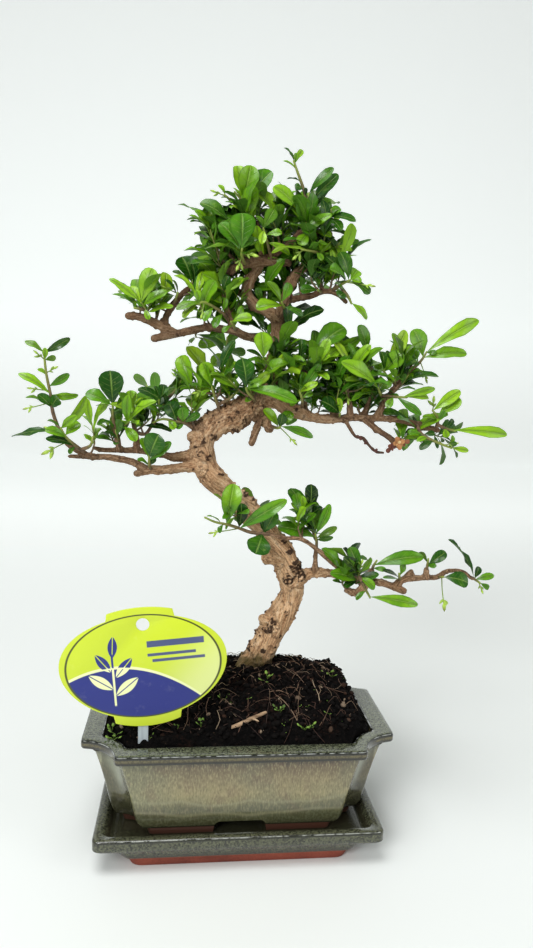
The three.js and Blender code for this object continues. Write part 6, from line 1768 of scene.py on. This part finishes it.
def glazeFinish():
    # thick where it pooled below, thin and pale on the walls, dark and speckled on the rim; the scooped
    # corners' pale band is a painted reflection, with painted shade under the rim and a painted glint on
    # its front edge
    made = Finish("glaze", Roughness=0.2, Coat_Weight=0.5, Coat_Roughness=0.06)
    place = made.place()
    x, y, z = made.measures(place)
    cloud, blot = made.noise(place, 34, 3), made.noise(place, 110, 3)
    speckle, fine = made.noise(place, 1000, 2), made.noise(place, 2400, 2)
    run = made.noise(made.stretch(place, (420, 420, 60)), 1, 3)
    streak = made.noise(made.stretch(place, (1500, 1500, 460)), 1, 3)
    wave = made.noise(made.stretch(place, (24, 24, 0)), 1, 2)
    # the wall's glaze by height: darkest low down where it pooled, palest halfway up, and dark again just
    # under the rim, where the darkening is painted shade of the rim's overhang
    wall = made.ramp(
        (z + (run - 0.5) * 5) / 50, (0.18, tint(40, 38, 22)), (0.28, tint(72, 70, 46)),
        (0.4, tint(104, 102, 72)), (0.54, tint(144, 134, 96)), (0.7, tint(128, 116, 86)),
        (0.84, tint(98, 84, 64)), (0.89, tint(52, 46, 34)))
    wall = made.mix(x.over(-18, -56) * z.over(16, 26) * 0.55, wall, tint(120, 126, 98))
    wall = made.mix(cloud.over(0.46, 0.66) * 0.45, wall, tint(106, 106, 84))
    wall = made.mix(blot.over(0.5, 0.7) * 0.35, wall, tint(106, 84, 68))
    wall = made.mix(streak.over(0.5, 0.66) * 0.34, wall, tint(176, 168, 124))
    wall = made.mix(streak.over(0.46, 0.34) * 0.34, wall, tint(58, 56, 40))
    # the glaze pooled in two layers with wavy edges above the foot, deeper towards the corners
    deep = (abs(x) - 20).most(0) * 0.07
    for middle, swing, darkness in ((21, 15, 0.4), (15.5, -10, 0.75)):
        edge = z - middle - (wave - 0.5) * swing - deep
        pooled = made.mix(speckle.over(0.45, 0.62) * 0.5, tint(64, 66, 44), tint(96, 98, 74))
        wall = made.mix(edge.over(1.6, -1.6) * darkness, wall, pooled)
        wall = made.mix(abs(edge - 1.3).over(1.3, 0) * 0.3, wall, tint(146, 144, 112))
    inScoop = (abs(x) - 54).over(0, 3) * (abs(y) - 26).over(0, 3)
    # in the scooped corners the pale band is a painted reflection of the bright room; below it the glaze
    # pooled dark, and the dark at the top is painted shade under the rim
    scoopGlazeAndReflection = made.ramp(
        (z + (wave - 0.5) * 8) / 50, (0.2, tint(44, 42, 28)), (0.3, tint(62, 60, 42)),
        (0.35, tint(160, 166, 138)),
        (0.6, tint(214, 220, 192)), (0.8, tint(190, 196, 164)), (0.88, tint(80, 80, 62)))
    wall = made.mix(inScoop * 0.85, wall, scoopGlazeAndReflection)
    rimTone = made.mix(speckle.over(0.42, 0.6), tint(92, 97, 76), tint(38, 42, 30))
    rimTone = made.mix(fine.over(0.54, 0.66) * 0.35, rimTone, tint(136, 142, 116))
    band = made.mix(speckle.over(0.42, 0.62) * 0.6, tint(92, 82, 52), tint(60, 56, 38))
    rimTone = made.mix(z.over(49.2, 48.6) * 0.8, rimTone, band)
    # the rim's underside and lower edge are darkened: painted shade under its overhang
    rimTone = made.mix(z.over(47.4, 46.4) * 0.92, rimTone, tint(22, 20, 12))
    colour = made.mix(z.over(44.6, 45.4), wall, rimTone)
    # the front edge: a dark line with a thin broken glint along it; the glint is a painted highlight
    glint = made.noise(made.stretch(place, (300, 300, 0)), 1, 3).over(0.4, 0.6)
    colour = made.mix(z.over(49.66, 49.5) * z.over(47.9, 48.4) * 0.9, colour, tint(20, 22, 20))
    colour = made.mix(z.over(49.5, 49.4) * z.over(49.05, 49.15) * glint * 0.5, colour, tint(206, 210, 206))
    foot = z.over(10.6, 9.6)
    clay = made.mix(cloud, tint(98, 44, 28), tint(136, 68, 44))
    colour = made.mix(foot, colour, clay)
    # darker inside the opening just above the soil: painted shade between the rim and the soil
    inside = z.over(49.2, 48.4) * abs(x).over(66, 64.5) * abs(y).over(36.2, 35)
    colour = made.mix(inside * 0.6, colour, tint(40, 38, 28))
    made.dress("Base Color", colour)
    made.dress("Roughness", speckle * 0.14 + foot * 0.5 + 0.1)
    made.bump(cloud * 0.9 + speckle * 0.1 + run * 0.35, 0.45)
    return made


def saucerFinish():
    made = Finish("saucer_glaze", Roughness=0.24, Coat_Weight=0.4, Coat_Roughness=0.08)
    place = made.place()
    x, y, z = made.measures(place)
    speckle, fine, cloud = made.noise(place, 900, 2), made.noise(place, 2400, 2), made.noise(place, 40, 3)
    colour = made.mix(speckle.over(0.4, 0.62), tint(80, 82, 62), tint(36, 38, 28))
    colour = made.mix(fine.over(0.53, 0.66) * 0.4, colour, tint(124, 128, 102))
    colour = made.mix(cloud.over(0.5, 0.72) * 0.4, colour, tint(56, 54, 38))
    outer = abs(x).over(66.6, 66.9).most(abs(y).over(44.3, 44.6))
    lip = z.over(9.0, 9.4) * z.over(10.5, 10.4) * outer
    # a thin broken glint along the top edge, a painted highlight
    glint = made.noise(made.stretch(place, (300, 300, 0)), 1, 3).over(0.4, 0.6)
    colour = made.mix(lip * 0.8, colour, tint(30, 32, 26))
    shine = z.over(9.95, 10.05) * z.over(10.4, 10.3) * outer * glint
    colour = made.mix(shine * 0.5, colour, tint(200, 204, 196))
    # darker down the inner wall and over the floor round the pot: painted shade
    low = z.over(9.4, 6.4) * abs(x).over(64.5, 63) * abs(y).over(42, 40.5)
    colour = made.mix(low * 0.7, colour, tint(34, 32, 20))
    made.dress("Base Color", colour)
    made.dress("Roughness", speckle * 0.16 + 0.14)
    made.bump(cloud * 0.8 + speckle * 0.12, 0.4)
    return made


def clayFinish():
    made = Finish("clay", Roughness=0.8)
    place = made.place()
    _, _, z = made.measures(place)
    grit, cloud = made.noise(place, 1100, 3), made.noise(place, 60, 3)
    colour = made.ramp(
        cloud * 0.6 + grit * 0.4, (0.35, tint(104, 44, 30)), (0.55, tint(132, 60, 42)),
        (0.75, tint(152, 78, 56)))
    ledge = z.over(-1.9, -1.2)
    colour = made.mix(ledge * 0.35, colour, tint(166, 98, 74))
    made.dress("Base Color", colour)
    made.bump(grit, 0.12)
    return made


def labelFinish():
    made = Finish("label", Roughness=0.32)
    across, up, _ = made.apart(made.uv())
    x, z = (across - 0.5) * label["printSpan"], (up - 0.5) * label["printSpan"]
    fromSprig = x - label["sprigX"]
    lime, blue, olive, pale = tint(196, 214, 46), tint(28, 40, 124), tint(70, 78, 30), tint(234, 240, 180)
    radius = ((x / 38) ** 2 + ((z - 0.6) / 26) ** 2) ** 0.5
    field = radius.over(0.93, 0.915)
    line = radius.over(0.905, 0.915) * radius.over(0.94, 0.93)
    # a blue hill along the bottom of the oval, with a sprig of five leaves standing on it
    overHill = z + fromSprig * fromSprig * 0.011
    hill = overHill.over(1.2, 0.6) * field
    paling = ((x - z) / 50).over(0.05, 0.8) * field * 0.6
    colour = made.mix(hill, made.mix(paling, lime, pale), blue)
    edge = abs(overHill - 0.9).over(0.85, 0.45) * field
    colour = made.mix(edge, colour, pale)
    motif = abs(fromSprig).over(0.6, 0.35) * z.over(8, 7) * z.over(-17.5, -16.5)
    for middleX, middleZ, lean, length, width in label["leaves"]:
        cos, sin = math.cos(math.radians(lean)), math.sin(math.radians(lean))
        outX, outZ = x - middleX, z - middleZ
        run = (outX * cos + outZ * sin) / length
        wide = (outZ * cos - outX * sin) / width
        motif = motif.most((abs(wide) + run * run).over(1.06, 0.96) * abs(wide).over(0.04, 0.14))
    colour = made.mix(motif, colour, made.mix(hill, blue, pale))
    for middleX, middleZ, half, tall in label["bars"]:
        bar = abs(x - middleX).over(half + 0.2, half - 0.2)
        bar = bar * abs(z - middleZ).over(tall + 0.15, tall - 0.15)
        colour = made.mix(bar * 0.9, colour, blue)
    colour = made.mix(line, colour, olive)
    wear = made.noise(made.place(), 260, 3)
    colour = made.mix(wear.over(0.6, 0.8) * 0.04, colour, tint(250, 252, 226))
    made.dress("Base Color", colour)
    made.dress("Roughness", wear * 0.2 + 0.24)
    made.bump(wear, 0.05)
    return made


def stakeFinish():
    made = Finish("stake", Roughness=0.4)
    place = made.place()
    scuff = made.noise(made.stretch(place, (900, 900, 90)), 1, 3)
    made.dress("Base Color", made.mix(scuff, tint(150, 162, 168), tint(196, 206, 210)))
    made.dress("Roughness", scuff * 0.3 + 0.25)
    made.bump(scuff, 0.06)
    return made


def drainMeshFinish():
    made = Finish("drain_mesh", Roughness=0.6)
    scuff = made.noise(made.place(), 700, 3)
    made.dress("Base Color", made.mix(scuff, tint(28, 32, 30), tint(56, 60, 56)))
    made.bump(scuff, 0.1)
    return made


def dressNode(name, finish):
    # a CAD solid that stays gets its finish in its own material slots
    mesh = nodes[name].data
    for i in range(max(1, len(mesh.materials))):
        if i < len(mesh.materials):
            mesh.materials[i] = finish.material
        else:
            mesh.materials.append(finish.material)


# the studio
studio = {
    "floorColour": (226, 230, 228), "wallColour": (240, 244, 243), "worldColour": (250, 250, 246),
    "world": 0.27, "glow": 0.43,
    # in metres: half of the floor's length and width, its shift forwards, the radius of the bend behind it
    # and the height of the wall above the bend
    "floor": {"half": (3, 2.2), "shift": -0.2, "bend": 0.5, "steps": 24, "wall": 3},
    # each lamp's place and target in metres, its size and its power in watts
    "lamps": {
        "overhead": ((-0.3, -0.3, 1.4), (0, 0, 0.1), 0.9, 13),
        "front": ((-0.8, -1.3, 1), (0, 0, 0.13), 0.7, 18),
        "side": ((1.1, -0.6, 0.7), (0, 0, 0.15), 0.7, 3.5),
    },
    "camera": {
        "place": (-27.85, -349.36, 212.32), "lens": 27.04, "right": (0.9937, -0.10756, 0.03156),
        "up": (-0.01922, 0.11391, 0.99331), "sensor": 36, "nearest": 0.01,
    },
}


def makeStage():
    # a floor that turns up into a wall far behind
    shape = studio["floor"]
    halfX, halfY = shape["half"]
    farY, slack = halfY + shape["shift"], 0.01
    bm = bmesh.new()
    bmesh.ops.create_grid(bm, x_segments=2, y_segments=2, size=1)
    bmesh.ops.scale(bm, vec=(halfX, halfY, 1), verts=bm.verts)
    bmesh.ops.translate(bm, vec=(0, shape["shift"], 0), verts=bm.verts)
    far = [edge for edge in bm.edges if all(corner.co.y > farY - slack for corner in edge.verts)]
    bmesh.ops.spin(
        bm, geom=far, cent=(0, farY, shape["bend"]), axis=(1, 0, 0), angle=math.pi / 2,
        steps=shape["steps"], use_merge=False, use_duplicate=False)
    top = [edge for edge in bm.edges if all(corner.co.z > shape["bend"] - slack for corner in edge.verts)]
    raised = bmesh.ops.extrude_edge_only(bm, edges=top)["geom"]
    upper = [added for added in raised if isinstance(added, bmesh.types.BMVert)]
    bmesh.ops.translate(bm, vec=(0, 0, shape["wall"]), verts=upper)
    mesh = toMesh("studio_floor", bm)
    mesh.shade_smooth()
    floor = bpy.data.objects.new("studio_floor", mesh)
    scene.collection.objects.link(floor)
    made = Finish("studio_floor", Roughness=0.7, Emission_Strength=studio["glow"])
    _, y, z = made.apart(made.place())
    pale = made.mix(z.over(0, 0.35), tint(*studio["floorColour"]), tint(*studio["wallColour"]))
    made.dress("Base Color", pale)
    made.dress("Emission Color", made.mix(y.over(0.1, 1.1), tint(0, 0, 0), tint(*studio["wallColour"])))
    mesh.materials.append(made.material)
    floor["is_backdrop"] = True


def makeLight(name, place, target, size, power):
    lamp = bpy.data.lights.new(name, "AREA")
    lamp.shape = "DISK"
    lamp.size = size
    lamp.energy = power
    light = bpy.data.objects.new(name, lamp)
    scene.collection.objects.link(light)
    light.location = place
    light.rotation_euler = (Vector(target) - Vector(place)).to_track_quat("-Z", "Y").to_euler()


def makeStudio():
    makeStage()
    for name, lamp in studio["lamps"].items():
        makeLight(name, *lamp)
    world = bpy.data.worlds.new("studio")
    scene.world = world
    world.use_nodes = True
    back = world.node_tree.nodes["Background"]
    back.inputs["Color"].default_value = tint(*studio["worldColour"])
    back.inputs["Strength"].default_value = studio["world"]
    seen = studio["camera"]
    view = bpy.data.cameras.new("camera")
    view.sensor_width = seen["sensor"]
    view.sensor_fit = "AUTO"
    view.lens = seen["lens"]
    view.clip_start = seen["nearest"]
    camera = bpy.data.objects.new("camera", view)
    scene.collection.objects.link(camera)
    right, up = Vector(seen["right"]), Vector(seen["up"])
    turn = Matrix((right, up, right.cross(up))).transposed().to_4x4()
    stand = Vector(seen["place"]) + Vector((0, 0, lift))
    camera.matrix_world = Matrix.Translation(stand * millimetre) @ turn
    scene.camera = camera
    scene.view_settings.view_transform = "Standard"
    print("studio made")


# making everything
makeStudio()
shootFinishes = [leafFinish(), stemFinish(), budFinish()]
makePot(glazeFinish())
makeSaucer([saucerFinish(), clayFinish()])
guides = makeWood(barkFinish())
makeSoil(soilFinish())
makeCrumbs(crumbFinish())
makeFibres(fibreFinish())
makeSeedlings(mossFinish())
makeDeadTwig(deadWoodFinish())
makeLabel(labelFinish())
dressNode("label_stake", stakeFinish())
dressNode("drain_mesh", drainMeshFinish())
addBackShoots()
makeShoots(shootFinishes)
makeCushions(shootFinishes, guides)
makeDried(driedFinish())

lows, highs = zip(*[[list(corner) for corner in box] for box in (cadBox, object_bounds())])
'{"cad": [%s, %s], "visual": [%s, %s]}' % (lows[0], highs[0], lows[1], highs[1])
